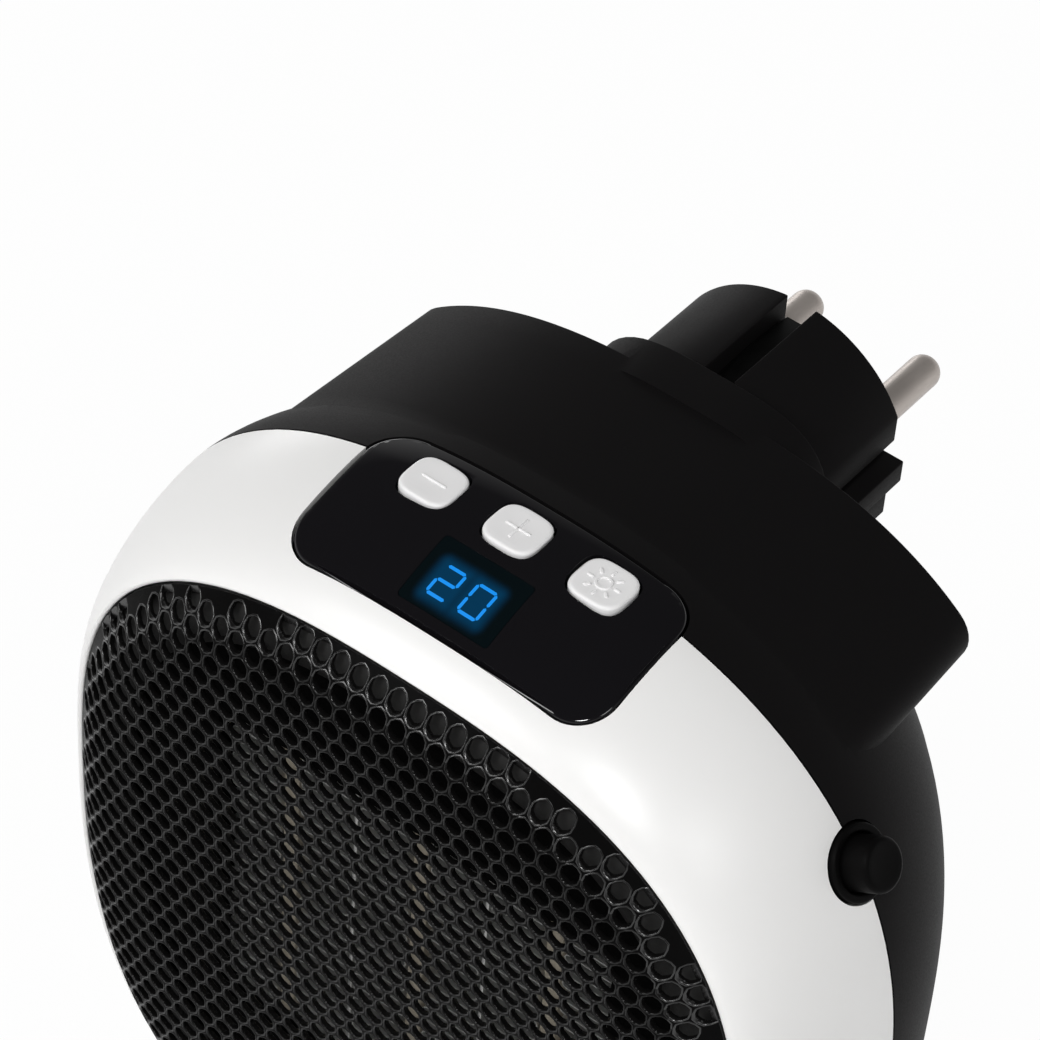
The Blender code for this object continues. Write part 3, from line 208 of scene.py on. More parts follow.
def rawObject(name, mesh):
    bmesh.ops.recalc_face_normals(mesh, faces=mesh.faces[:])
    if mesh.calc_volume(signed=True) < 0:
        bmesh.ops.reverse_faces(mesh, faces=mesh.faces[:])
    data = bpy.data.meshes.new(name)
    mesh.to_mesh(data)
    mesh.free()
    return addToScene(name, data)


def bakeModifiers(made):
    bpy.context.view_layer.update()
    graph = bpy.context.evaluated_depsgraph_get()
    data = bpy.data.meshes.new_from_object(made.evaluated_get(graph))
    old = made.data
    made.modifiers.clear()
    made.data = data
    bpy.data.meshes.remove(old)


def combine(made, tool, operation="DIFFERENCE"):
    # tool is a bmesh; the result is baked at once
    helper = rawObject("helper", tool)
    step = made.modifiers.new("cut", "BOOLEAN")
    step.object = helper
    step.operation = operation
    step.solver = "EXACT"
    bakeModifiers(made)
    data = helper.data
    bpy.data.objects.remove(helper)
    bpy.data.meshes.remove(data)


def softenEdges(made, width, angle):
    step = made.modifiers.new("soften", "BEVEL")
    step.width = width
    step.segments = 3
    step.limit_method = "ANGLE"
    step.angle_limit = radians(angle)
    bakeModifiers(made)


def setPiece(made, coat, stands=(), sharp=35.0, body="heater"):
    # last step of every piece: metres, shading, material, body and the nodes it stands for
    data = made.data
    data.transform(Matrix.Scale(mm, 4))
    data.shade_smooth()
    data.set_sharp_from_angle(angle=radians(sharp))
    data.materials.clear()
    data.materials.append(paint[coat])
    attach(made, body)
    if stands:
        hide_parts(*stands)


# Materials: each has its own grain, patchiness and roughness spread
def addNode(tree, kind, values={}, sources={}, **settings):
    # values fill sockets, sources are linked to them
    node = tree.nodes.new("ShaderNode" + kind)
    for key, value in settings.items():
        setattr(node, key, value)
    for key, value in values.items():
        node.inputs[key].default_value = value
    for key, source in sources.items():
        tree.links.new(source, node.inputs[key])
    return node


def ramp(tree, source, low, high, start=0.0, end=1.0, **settings):
    values = {"From Min": start, "From Max": end, "To Min": low, "To Max": high}
    return addNode(tree, "MapRange", values, {"Value": source}, **settings).outputs["Result"]


def newMaterial(name, values):
    material = bpy.data.materials.new(name)
    material.use_nodes = True
    shader = material.node_tree.nodes["Principled BSDF"]
    for key, value in values.items():
        shader.inputs[key].default_value = value
    return material, material.node_tree, shader


def finish(name, spec):
    material, tree, shader = newMaterial(name, {
        "Metallic": spec.get("metallic", 0.0), "Specular IOR Level": spec.get("specular", 0.5)})
    place = addNode(tree, "TexCoord")
    scale = (1.0, spec.get("stretchY", 1.0), 1.0)
    stretch = addNode(tree, "Mapping", {"Scale": scale}, {"Vector": place.outputs["Object"]})

    def noise(scale, detail):
        sources = {"Vector": stretch.outputs["Vector"]}
        return addNode(tree, "TexNoise", {"Scale": scale, "Detail": detail}, sources).outputs["Fac"]

    colours = addNode(
        tree, "Mix", {"A": (*spec["colour"], 1.0), "B": (*spec["patchColour"], 1.0)},
        {"Factor": noise(spec["patchScale"], 4.0)}, data_type="RGBA")
    tree.links.new(colours.outputs["Result"], shader.inputs["Base Color"])
    grain = noise(spec["grainScale"], 3.0)
    tree.links.new(ramp(tree, grain, *spec["roughness"], 0.3, 0.7), shader.inputs["Roughness"])
    values = {"Strength": spec["bump"], "Distance": spec["bumpDepth"] * mm}
    bump = addNode(tree, "Bump", values, {"Height": grain})
    tree.links.new(bump.outputs["Normal"], shader.inputs["Normal"])
    return material


# one row for each finish: the colours as red, green and blue, bumpDepth in millimetres
columns = (
    "colour", "patchColour", "roughness", "grainScale", "bump", "bumpDepth", "patchScale",
    "specular", "metallic", "stretchY")
finishes = {
    "whiteShell": ((0.86, 0.855, 0.845), (0.84, 0.835, 0.825), (0.30, 0.38), 2500, 0.05, 0.02, 40),
    "blackShell": (
        (0.0075, 0.007, 0.0072), (0.0062, 0.0058, 0.006), (0.44, 0.56), 4200, 0.22, 0.03, 55, 0.026),
    "blackGrille": (
        (0.005, 0.0048, 0.0048), (0.0036, 0.0034, 0.0034), (0.13, 0.2), 2600, 0.05, 0.02, 120, 0.16),
    "flangeGrey": ((0.019, 0.0185, 0.018), (0.0085, 0.0083, 0.008), (0.5, 0.64), 3200, 0.35, 0.06, 260, 0.2),
    "rimShine": ((0.005, 0.0048, 0.0048), (0.0036, 0.0034, 0.0034), (0.2, 0.28), 2600, 0.05, 0.02, 120, 0.6),
    "buttonBlack": (
        (0.0034, 0.0032, 0.0033), (0.0027, 0.0026, 0.0026), (0.4, 0.52), 2400, 0.16, 0.03, 200, 0.03),
    "grilleFace": (
        (0.0032, 0.0031, 0.0031), (0.0022, 0.0021, 0.0021), (0.26, 0.36), 2600, 0.12, 0.02, 220, 0.02),
    "glossPanel": ((0.0045, 0.004, 0.0052), (0.004, 0.0036, 0.0046), (0.05, 0.08), 900, 0.01, 0.01, 30),
    "displayGlass": (
        (0.0015, 0.004, 0.0048), (0.0012, 0.0036, 0.0044), (0.05, 0.08), 900, 0.01, 0.01, 30, 0.22),
    "keyWhite": ((0.86, 0.855, 0.855), (0.83, 0.825, 0.825), (0.38, 0.46), 3500, 0.1, 0.02, 200),
    "nickel": ((0.53, 0.48, 0.445), (0.46, 0.415, 0.38), (0.36, 0.46), 2200, 0.1, 0.05, 150, 0.5, 0.55, 0.12),
    # the spring steel's near-black colour is painted shade, as the springs sit deep in the dark earth slots
    "springSteelPaintedShade": (
        (0.02, 0.02, 0.02), (0.014, 0.014, 0.014), (0.4, 0.55), 1800, 0.12, 0.05, 220, 0.5, 1, 0.15),
    "finMetal": ((0.80, 0.80, 0.78), (0.60, 0.60, 0.58), (0.26, 0.42), 1500, 0.15, 0.05, 260, 0.5, 0.9),
    "ceramic": ((0.42, 0.38, 0.31), (0.32, 0.28, 0.21), (0.50, 0.72), 2400, 0.3, 0.05, 320),
    "boardGreen": ((0.015, 0.12, 0.05), (0.022, 0.16, 0.07), (0.32, 0.48), 1200, 0.15, 0.05, 700),
    "screwSteel": ((0.48, 0.48, 0.49), (0.38, 0.38, 0.39), (0.28, 0.42), 2000, 0.12, 0.05, 300, 0.5, 1),
    "motorSteel": ((0.52, 0.52, 0.51), (0.42, 0.42, 0.41), (0.3, 0.5), 1400, 0.1, 0.05, 90, 0.5, 1, 0.2),
    "relayBlue": ((0.02, 0.09, 0.28), (0.015, 0.07, 0.22), (0.38, 0.50), 2600, 0.1, 0.05, 180),
    "baffleBlack": (
        (0.0025, 0.0024, 0.0024), (0.0018, 0.0017, 0.0017), (0.7, 0.85), 1800, 0.12, 0.05, 90, 0.02),
    "fanBlack": ((0.02, 0.02, 0.021), (0.014, 0.014, 0.015), (0.35, 0.48), 2200, 0.1, 0.05, 100),
}
paint = {name: finish(name, dict(zip(columns, row))) for name, row in finishes.items()}
print("materials ready:", len(paint))

# Cutting tools shared by the bezel and the housing
panel = {
    "halfX": 24.05, "shift": -0.6, "length": 22.5, "setback": 4.85, "round": 5.5, "thick": 2.4, "edge": 0.5,
    "rim": 0.36, "rimSteps": 14, "rimSink": 0.95, "cavityLowZ": 12.13, "cavityHighZ": 24.0,
    "spare": 2.0, "columns": 72, "rows": 40,
}
panel["frontY"] = lipY + panel["setback"]
panel["rearY"] = panel["frontY"] + panel["length"]
panel["middleY"] = (panel["frontY"] + panel["rearY"]) / 2


def roundedRectangle(centreU, centreV, halfU, halfV, radius, steps):
    points = []
    for sideU, sideV, start in ((1, 1, 0.0), (-1, 1, 0.25), (-1, -1, 0.5), (1, -1, 0.75)):
        for step in range(steps + 1):
            angle = tau * (start + 0.25 * step / steps)
            points.append((
                centreU + sideU * (halfU - radius) + radius * cos(angle),
                centreV + sideV * (halfV - radius) + radius * sin(angle)))
    return points


def panelOutline(clearance, steps=12):
    return roundedRectangle(
        panel["shift"], panel["middleY"], panel["halfX"] + clearance, panel["length"] / 2 + clearance,
        panel["round"] + clearance, steps)


def standing(outline, lowZ=5.0, highZ=40.0):
    return loftLoops([[(x, y, z) for x, y in outline] for z in (lowZ, highZ)])


def panelCavity():
    return standing(panelOutline(gap), panel["cavityLowZ"], panel["cavityHighZ"])


power = {
    "angle": 37.07, "radius": 4.9, "inner": 3.8, "proud": 0.3, "depth": 6.0, "floor": -4.8, "edge": 0.35,
    "knob": 3.5, "knobProud": 4.0, "travel": 1.5, "stem": 1.5, "stemLow": -7.6, "round": 0.7, "foot": 0.2,
    "dish": 0.12, "boreReach": 6.0,
}


def powerPlace():
    x, z = polarPoint(seamPower, seamHalf, seamHalf, radians(power["angle"]))
    lean = seamPower - 1
    normal = Vector((x ** lean, 0.0, z ** lean)).normalized()
    turn = normal.to_track_quat("Z", "Y").to_matrix().to_4x4()
    turn.translation = Vector((x, seamY, centreZ + z))
    return turn


def powerBore():
    reach = power["boreReach"]
    mesh = loftLoops([levelLoop(power["radius"] + gap, z) for z in (-power["depth"] - reach, reach)])
    mesh.transform(powerPlace())
    return mesh


# White front bezel
bezel = {
    "backGap": 0.15, "lipRound": 0.5, "lipInset": 0.2, "lipFlat": 0.8, "innerEndY": -73.5, "steps": 30,
    "innerWall": 1.05, "innerShares": (1.0, 0.8, 0.6, 0.45, 0.33, 0.26),
}


def buildBezel():
    span = seamY - bezel["backGap"] - lipY
    curve = shell["ringCurve"]
    lipRound, lipInset = bezel["lipRound"], bezel["lipInset"]
    loops = []
    # front edge turns over from the inner wall to the outer face
    for angle in reversed(quarter(5)):
        inset = lipInset + lipRound * (sin(angle) - 1.0)
        y = lipY + lipRound * (1 - cos(angle)) * bezel["lipFlat"]
        loops.append(shellLoop(*ringSection(0.0, inset), y))
    startGrowth = (lipRound - lipInset) / (seamHalf - shell["lipHalfX"])
    for turn in quarter(bezel["steps"]):
        growth = sin(turn) ** (2 / curve)
        if growth > startGrowth:
            share = 1.0 - cos(turn) ** (2 / curve)
            loops.append(shellLoop(*ringSection(growth), lipY + span * share))
    inside = shell["wall"] * bezel["innerWall"]
    for share in bezel["innerShares"]:
        loops.append(shellLoop(*ringSection(ringGrowth(share), inside), lipY + span * share))
    loops.append(shellLoop(*ringSection(0.0, lipInset), bezel["innerEndY"]))
    made = rawObject("frontBezel", loftLoops(loops, closed=True))
    combine(made, panelCavity())
    combine(made, powerBore())
    setPiece(made, "whiteShell", ["front_bezel"], 30.0)


buildBezel()
print("bezel built")

# Black rear housing: dome, upper block and plug boss
housing = {
    "frontGap": 0.15, "domeSteps": 26, "rearRound": 1.4, "rearSpread": 0.55, "rearDrop": 1.2,
    "blockFrontHalf": 59.6, "blockRearHalf": 58.47, "blockPower": 2.607, "blockFloorZ": -1.5,
    "blockRound": 5.0, "blockRearY": -22.3, "blockEdge": 0.35,
    "blockSteps": 8, "cornerSteps": 12, "topSteps": 40,
    "bossHalf": 18.7, "bossPower": 3.51, "bossFaceY": -18.1, "bossWall": 2.5, "bossEdge": 0.3,
    "bossCount": 96, "swivelRadius": 11.3, "overlap": 3.0,
    "inletRadius": 26.0, "inletZ": -49.97, "inletEdge": 0.5,
    "postRadius": 5.8, "postInset": 7.0, "postAngles": (57.0, 123.0, 225.0, 315.0),
    "boreRadius": 1.8, "headBore": 2.9, "seatY": -47.0,
}


def blockLoop(half, floorZ, radius, y):
    def spot(angle):
        x, z = polarPoint(housing["blockPower"], half, half, angle)
        lean = housing["blockPower"] - 1
        return x, z, Vector((x ** lean, z ** lean)).normalized()

    # halving finds where the corner's arc meets the round top
    low, high = 0.01, pi / 2 - 0.01
    for _ in range(40):
        middle = (low + high) / 2
        x, z, normal = spot(middle)
        if centreZ + z - radius * normal.y < floorZ + radius:
            low = middle
        else:
            high = middle
    x, z, normal = spot(low)
    cornerX, cornerZ = x - radius * normal.x, floorZ + radius
    turnStart = atan2(normal.y, normal.x)
    right = []
    for angle in evenly(-pi / 2, turnStart, housing["cornerSteps"])[:-1]:
        right.append((cornerX + radius * cos(angle), cornerZ + radius * sin(angle)))
    for angle in evenly(low, pi / 2, housing["topSteps"]):
        topX, topZ, _ = spot(angle)
        right.append((topX, centreZ + topZ))
    return flatLoop(right + [(-x, z) for x, z in reversed(right[:-1])], y)


def roundedEnd(rearY, edge):
    # how far each loop round the rear edge steps in, and where it lies
    if not edge:
        return [(0.0, rearY)]
    return [(edge * (1 - cos(angle)), rearY - edge + edge * sin(angle)) for angle in quarter(5)]


def blockMesh(wall, frontY, rearY, edge=0.0):
    endY, rearHalf, frontHalf = take(housing, "blockRearY blockRearHalf blockFrontHalf")
    sections = [(0.0, y) for y in evenly(frontY, rearY - edge, housing["blockSteps"])[:-1]]
    loops = []
    for inset, y in sections + roundedEnd(rearY, edge):
        depth = wall + inset
        half = blend(rearHalf, frontHalf, (y - endY) / (seamY - endY)) - depth
        loops.append(blockLoop(half, housing["blockFloorZ"] + depth, housing["blockRound"] - depth, y))
    return loftLoops(loops)


def domeMesh(wall, frontY, rearY, edge=0.0):
    loops = []
    endY = rearY - edge
    for y in evenly(frontY, endY, housing["domeSteps"]):
        half = domeHalf(y, wall)
        loops.append(shellLoop(half, half, seamPower, y))
    for angle in quarter(5)[1:] if edge else ():
        inset = edge * housing["rearSpread"] * sin(angle) + edge * housing["rearDrop"] * (1 - cos(angle))
        loops.append(shellLoop(half - inset, half - inset, seamPower, endY + edge * sin(angle)))
    return loftLoops(loops)


def bossMesh(wall, frontY, rearY, edge=0.0):
    half = housing["bossHalf"] - wall
    steps = [(0.0, frontY)] + roundedEnd(rearY, edge)
    return loftLoops([
        squareLoop(half - inset, half - inset, housing["bossPower"], y, 0.0, housing["bossCount"])
        for inset, y in steps])


def postCentre(angle):
    x, z = polarPoint(seamPower, seamHalf, seamHalf, radians(angle))
    lean = seamPower - 1
    rise = copysign(abs(z) ** lean, z) / (shell["stretch"] if z < 0 else 1.0)
    normal = Vector((copysign(abs(x) ** lean, x), rise)).normalized()
    return x - housing["postInset"] * normal.x, centreZ + drawnDown(z) - housing["postInset"] * normal.y


def buildHousing():
    wall, lap, bossWall = shell["wall"], housing["overlap"], housing["bossWall"]
    rearY, faceY, seatY = take(housing, "blockRearY bossFaceY seatY")
    frontY = seamY + housing["frontGap"]
    made = rawObject("rearHousing", domeMesh(0.0, frontY, domeEndY, housing["rearRound"]))
    combine(made, blockMesh(0.0, seamY + lap, rearY, housing["blockEdge"]), "UNION")
    combine(made, bossMesh(0.0, rearY - lap, faceY, housing["bossEdge"]), "UNION")
    hollow = rawObject("hollow", domeMesh(wall, seamY - lap, domeEndY - wall))
    combine(hollow, blockMesh(wall, seamY + 2 * lap, rearY - wall), "UNION")
    combine(hollow, bossMesh(bossWall, rearY - 2 * lap, faceY - bossWall), "UNION")
    centres = [postCentre(angle) for angle in housing["postAngles"]]
    post, bore, head = take(housing, "postRadius boreRadius headBore")
    combine(hollow, joinMeshes([turnedMesh([(post, frontY), (post, faceY)], z, x, 32) for x, z in centres]))
    cut = bmesh.new()
    cut.from_mesh(hollow.data)
    bpy.data.objects.remove(hollow)
    combine(made, cut)
    profile = [(bore, frontY - lap), (bore, seatY), (head, seatY), (head, faceY)]
    combine(made, joinMeshes([turnedMesh(profile, z, x, 32) for x, z in centres]))
    radius = housing["swivelRadius"]
    combine(made, turnedMesh([(radius, faceY - 2 * lap), (radius, faceY + lap)]))
    radius, edge = housing["inletRadius"], housing["inletEdge"]
    combine(made, turnedMesh([
        (radius, domeEndY - 2 * lap), (radius, domeEndY - edge), (radius + edge, domeEndY + 0.01),
        (radius + edge, domeEndY + lap)], housing["inletZ"], 0.0, 96))
    combine(made, panelCavity())
    combine(made, powerBore())
    setPiece(made, "blackShell", ["rear_housing"], 30.0)


buildHousing()
print("housing built")

# Screws with a cross recess, seen down the housing's bores
screw = {
    "radius": 1.5, "head": 2.6, "headHeight": 2.0, "seatY": -46.7, "tipY": -62.5, "tip": 0.35,
    "tipLength": 1.6, "threads": 13, "threadStart": 2.0, "threadPitch": 0.9, "root": 0.78,
    "slot": 0.35, "slotLong": 1.5, "slotDepth": 1.2,
}


def buildScrews():
    radius, head, seatY, tipY, pitch = take(screw, "radius head seatY tipY threadPitch")
    headEnd = seatY + screw["headHeight"]
    profile = [(screw["tip"], tipY), (radius * 0.75, tipY + screw["tipLength"])]
    for step in range(screw["threads"]):
        y = tipY + screw["threadStart"] + step * pitch
        profile += [(radius, y), (radius * screw["root"], y + pitch / 2)]
    profile += [
        (radius, seatY), (head, seatY), (head, headEnd - 0.9), (head * 0.9, headEnd - 0.35),
        (head * 0.7, headEnd)]
    for index, angle in enumerate(housing["postAngles"], 1):
        x, z = postCentre(angle)
        made = rawObject(f"housingScrew{index}", turnedMesh(profile, z, x, 24))
        for wide, tall in ((screw["slotLong"], screw["slot"]), (screw["slot"], screw["slotLong"])):
            outline = [(wide, tall), (-wide, tall), (-wide, -tall), (wide, -tall)]
            combine(made, loftLoops([
                flatLoop([(x + u * 0.5, z + v * 0.5) for u, v in outline], headEnd - screw["slotDepth"]),
                flatLoop([(x + u, z + v) for u, v in outline], headEnd + 0.5)]))
        setPiece(made, "screwSteel", [f"housing_screw_{index}"])


buildScrews()
print("screws built")

# Honeycomb grille: a plate with a rounded edge, its holes drawn straight back
grille = {
    "inset": 0.4, "height": 5.15, "edgePower": 13.0, "roundPower": 1.25, "pitch": 2.98, "rowPitch": 2.63,
    "rowStart": 49.7, "hole": 1.2, "corner": 1.06, "sides": 12, "rim": 0.27, "bead": 0.06, "thick": 0.9,
    "edgeReach": 0.998, "openReach": 0.984, "shineLow": 20.0, "shineReach": 0.915, "webFlat": 0.985,
    "skirtWall": 1.0, "skirtBack": 2.35, "weld": 0.004,
}
grille["halfX"] = shell["lipHalfX"] - grille["inset"]
grille["halfZ"] = shell["lipHalfZ"] - grille["inset"]


def grilleReach(x, up):
    tall = up / shell["stretch"] if up < 0 else up
    power = shell["lipPower"]
    return ((abs(x) / grille["halfX"]) ** power + (abs(tall) / grille["halfZ"]) ** power) ** (1.0 / power)


def grilleY(x, up):
    reach = min(1.0, grilleReach(x, up))
    return lipY - grille["height"] * (1.0 - reach ** grille["edgePower"]) ** grille["roundPower"]


def grilleCell(x, up, vert, faces):
    # one hexagon of the comb: open, or closed where the rim leaves no room
    count, thick, rim, bead, hole = take(grille, "sides thick rim bead hole")
    halfCell = grille["pitch"] / 2
    stretch = grille["rowPitch"] / (grille["pitch"] * sqrt(0.75))

    def outline(cornerRadius, sideRadius):
        # corners and middles of the sides in turn
        spots = []
        for index, angle in enumerate(turns(count)):
            angle += pi / 6
            radius = sideRadius if index % 2 else cornerRadius
            spots.append((x + radius * cos(angle), up + radius * sin(angle) * stretch))
        return spots

    border = outline(halfCell / cos(pi / 6), halfCell)
    if min(grilleReach(u, v) for u, v in border) >= grille["edgeReach"]:
        return 0
    front = [vert(u, v, 0.0) for u, v in border]
    back = [vert(u, v, thick) for u, v in border]
    if grilleReach(x, up) > grille["openReach"]:
        middle, middleBack = vert(x, up, 0.0), vert(x, up, thick)
        for index in range(count):
            after = (index + 1) % count
            faces += [(middle, front[index], front[after]), (middleBack, back[after], back[index])]
        return 0
    loops = [front]
    for grow, depth in (
            (rim, 0.0), (rim * 0.80, -bead * 0.7), (rim * 0.58, -bead), (rim * 0.36, -bead * 0.55),
            (rim * 0.16, bead), (rim * 0.04, bead * 2.6), (0.0, rim), (-0.02, thick - rim * 0.5),
            (rim * 0.3, thick)):
        loops.append([vert(u, v, depth) for u, v in outline(hole * grille["corner"] + grow, hole + grow)])
    faces += bandFaces(loops + [back])
    return 1


def buildGrille():
    verts, faces, known = [], [], {}

    def vert(x, up, depth):
        key = (round(x * 50), round(up * 50), round(depth * 50))
        if key not in known:
            reach = max(1.0, grilleReach(x, up))
            known[key] = len(verts)
            verts.append((x / reach, grilleY(x, up) + depth, centreZ + up / reach))
        return known[key]

    pitch, rowPitch, rowStart = take(grille, "pitch rowPitch rowStart")
    columns = int(grille["halfX"] / pitch) + 2
    rows = int((grille["halfZ"] * shell["stretch"] + rowStart) / rowPitch) + 3
    holes = 0
    for row in range(-2, rows):
        shift = pitch / 2 if row % 2 else 0.0
        for column in range(-columns, columns + 1):
            holes += grilleCell(shift + column * pitch, rowStart - row * rowPitch, vert, faces)
    data = bpy.data.meshes.new("comb")
    kept = [tuple(dict.fromkeys(face)) for face in faces]
    data.from_pydata(verts, [], [face for face in kept if len(face) > 2])
    data.validate()
    sheet = bmesh.new()
    sheet.from_mesh(data)
    bpy.data.meshes.remove(data)
    bmesh.ops.remove_doubles(sheet, verts=sheet.verts[:], dist=grille["weld"])
    wall, backY = grille["skirtWall"], lipY + grille["skirtBack"]
    addMesh(sheet, loftLoops([
        shellLoop(grille["halfX"] - inset, grille["halfZ"] - inset, shell["lipPower"], y)
        for inset, y in ((0.0, lipY), (wall, lipY - 0.02), (wall, backY), (0.0, backY))], closed=True))
    print("grille cells:", holes)
    made = rawObject("honeycombGrille", sheet)
    setPiece(made, "grilleFace", ["front_grille"], 62.0)
    made.data.materials.append(paint["blackGrille"])
    made.data.materials.append(paint["rimShine"])
    # the webs are matt, the rolled rims and the walls of the holes shine
    step = 0.05
    for face in made.data.polygons:
        x, up = face.center.x / mm, face.center.z / mm - centreZ
        across = grilleY(x + step, up) - grilleY(x - step, up)
        slope = Vector((across, -2 * step, grilleY(x, up + step) - grilleY(x, up - step)))
        if abs(face.normal.dot(slope.normalized())) < grille["webFlat"]:
            upper = up > grille["shineLow"] and grilleReach(x, up) > grille["shineReach"]
            face.material_index = 2 if upper else 1


flange = {"outer": 0.985, "inner": 0.84, "sink": 1.75, "fall": 3.5, "thick": 0.3, "steps": 10}


def buildFlange():
    # a skin just inside the comb closes its outermost holes
    front, back = [], []
    for share in evenly(0.0, 1.0, flange["steps"]):
        reach = blend(flange["inner"], flange["outer"], share)
        loop = shellLoop(grille["halfX"] * reach, grille["halfZ"] * reach, shell["lipPower"], 0.0)
        sink = flange["sink"] + flange["fall"] * (1.0 - share) ** 2
        for loops, depth in ((front, sink), (back, sink + flange["thick"])):
            loops.append([(x, grilleY(x, z - centreZ) + depth, z) for x, _, z in loop])
    made = rawObject("grilleFlange", loftLoops(front + back[::-1], closed=True))
    setPiece(made, "flangeGrey")


buildGrille()
buildFlange()
print("grille built")

# Glossy control panel with its display window
keys = {
    "halfX": 3.87, "halfY": 3.60, "power": 3.4, "pitch": 13.05, "y": -57.85, "proud": 0.17, "round": 0.5,
    "flat": 0.9, "foot": 0.2, "dish": 0.1, "stem": 1.6, "stemLowZ": 15.23, "around": 72,
}
window = {
    "width": 13.7, "length": 9.3, "x": -0.15, "y": -68.15, "round": 0.5, "gap": 0.06, "thick": 2.4,
    "spare": 1.0, "sideSpare": 3.0, "columns": 30, "rows": 18,
}


def keyOutline(centreX, halfX, halfY, sides=keys["power"]):
    points = [polarPoint(sides, halfX, halfY, angle) for angle in turns(keys["around"])]
    return [(centreX + x, keys["y"] + y) for x, y in points]


def windowOutline(clearance=0.0):
    halfX, halfY = window["width"] / 2 + clearance, window["length"] / 2 + clearance
    return roundedRectangle(window["x"], window["y"], halfX, halfY, window["round"], 4)


def skinPlate(halfX, lowY, highY, spec):
    # a plate that follows the shells' top skin, finely divided for the gloss
    columns, rows, thick = take(spec, "columns rows thick")
    loops = []
    for y in evenly(lowY, highY, rows):
        top = [(x, y, topHeight(x, y)) for x in evenly(-halfX, halfX, columns)]
        loops.append(top + [(x, y, z - thick) for x, y, z in reversed(top)])
    return loftLoops(loops)


def buildPanel():
    rim, steps, spare = take(panel, "rim rimSteps spare")
    made = rawObject("controlPanel", skinPlate(
        panel["halfX"] + spare, panel["frontY"] - 0.001, panel["rearY"] + spare, panel))
    combine(made, standing(panelOutline(-rim, steps)), "INTERSECT")
    for step in (-1, 0, 1):
        x = panel["shift"] + step * keys["pitch"]
        combine(made, standing(keyOutline(x, keys["halfX"] + gap, keys["halfY"] + gap)))
    combine(made, standing(windowOutline(window["gap"])))
    softenEdges(made, panel["edge"], 50.0)
    loops = []
    for angle in turns(steps):
        outline = panelOutline(rim * (cos(angle) - 1.0), steps)
        lift = rim * (sin(angle) - panel["rimSink"])
        loops.append([(x, y, topHeight(x, y) + lift) for x, y in outline])
    setPiece(rawObject("panelRim", loftLoops(loops, closed=True)), "glossPanel", [], 62.0)
    setPiece(made, "glossPanel", ["control_panel"], 62.0)


buildPanel()

digits = {
    "left": -4.3, "rear": -66.6, "front": -71.0, "width": 3.2, "step": 4.75, "stroke": 0.42, "gap": 0.10,
    "slant": 0.03, "lift": 0.02, "thick": 0.05,
    "colour": (0.004, 0.27, 0.86), "dimmest": 0.8, "brightest": 1.15,
    # the blue glow values paint the digits' light spreading in the smoked glass
    "glowColour": (0.0, 0.27, 0.70), "glowStrength": 0.12, "glowRest": 0.0008,
    "glowStart": -0.3, "glowReach": 1.9, "glowBlend": 1.4,
}
segments = {
    "a": ((0, 0), (1, 0)), "g": ((0, 0.5), (1, 0.5)), "d": ((0, 1), (1, 1)),
    "f": ((0, 0), (0, 0.5)), "b": ((1, 0), (1, 0.5)), "e": ((0, 0.5), (0, 1)), "c": ((1, 0.5), (1, 1)),
}
shown = ("abged", "abcdef")


def addPaintedGlow():
    # painted glow: blue emission on the smoked glass round the box that each digit fills stands in for the
    # digits' light spreading in it, with a faint rest over the whole window
    tree = paint["displayGlass"].node_tree
    shader = tree.nodes["Principled BSDF"]

    def vectorStep(operation, source, value=(0.0, 0.0, 0.0)):
        return addNode(tree, "VectorMath", {1: value}, {0: source}, operation=operation).outputs["Vector"]

    flat = vectorStep("MULTIPLY", addNode(tree, "TexCoord").outputs["Object"], (1.0, 1.0, 0.0))
    halfX, halfY = digits["width"] / 2 * mm, (digits["rear"] - digits["front"]) / 2 * mm
    middleY = (digits["rear"] + digits["front"]) / 2 * mm
    distances = {}
    for index in range(len(shown)):
        middleX = (digits["left"] + digits["width"] / 2 + index * digits["step"]) * mm
        away = vectorStep("ABSOLUTE", vectorStep("SUBTRACT", flat, (middleX, middleY, 0.0)))
        outside = vectorStep("MAXIMUM", vectorStep("SUBTRACT", away, (halfX, halfY, 0.0)))
        distances[index] = addNode(tree, "VectorMath", {}, {0: outside}, operation="LENGTH").outputs["Value"]
    nearest = addNode(tree, "Math", {2: digits["glowBlend"] * mm}, distances, operation="SMOOTH_MIN")
    fade = ramp(
        tree, nearest.outputs["Value"], digits["glowStrength"], digits["glowRest"], digits["glowStart"] * mm,
        digits["glowReach"] * mm, interpolation_type="SMOOTHERSTEP")
    shader.inputs["Emission Color"].default_value = (*digits["glowColour"], 1.0)
    tree.links.new(fade, shader.inputs["Emission Strength"])


def buildWindow():
    addPaintedGlow()
    halfX, halfY = window["width"] / 2 + window["sideSpare"], window["length"] / 2 + window["spare"]
    made = rawObject("displayWindow", skinPlate(halfX, window["y"] - halfY, window["y"] + halfY, window))
    combine(made, standing(windowOutline()), "INTERSECT")
    setPiece(made, "displayGlass", ["display_window"], 40.0)


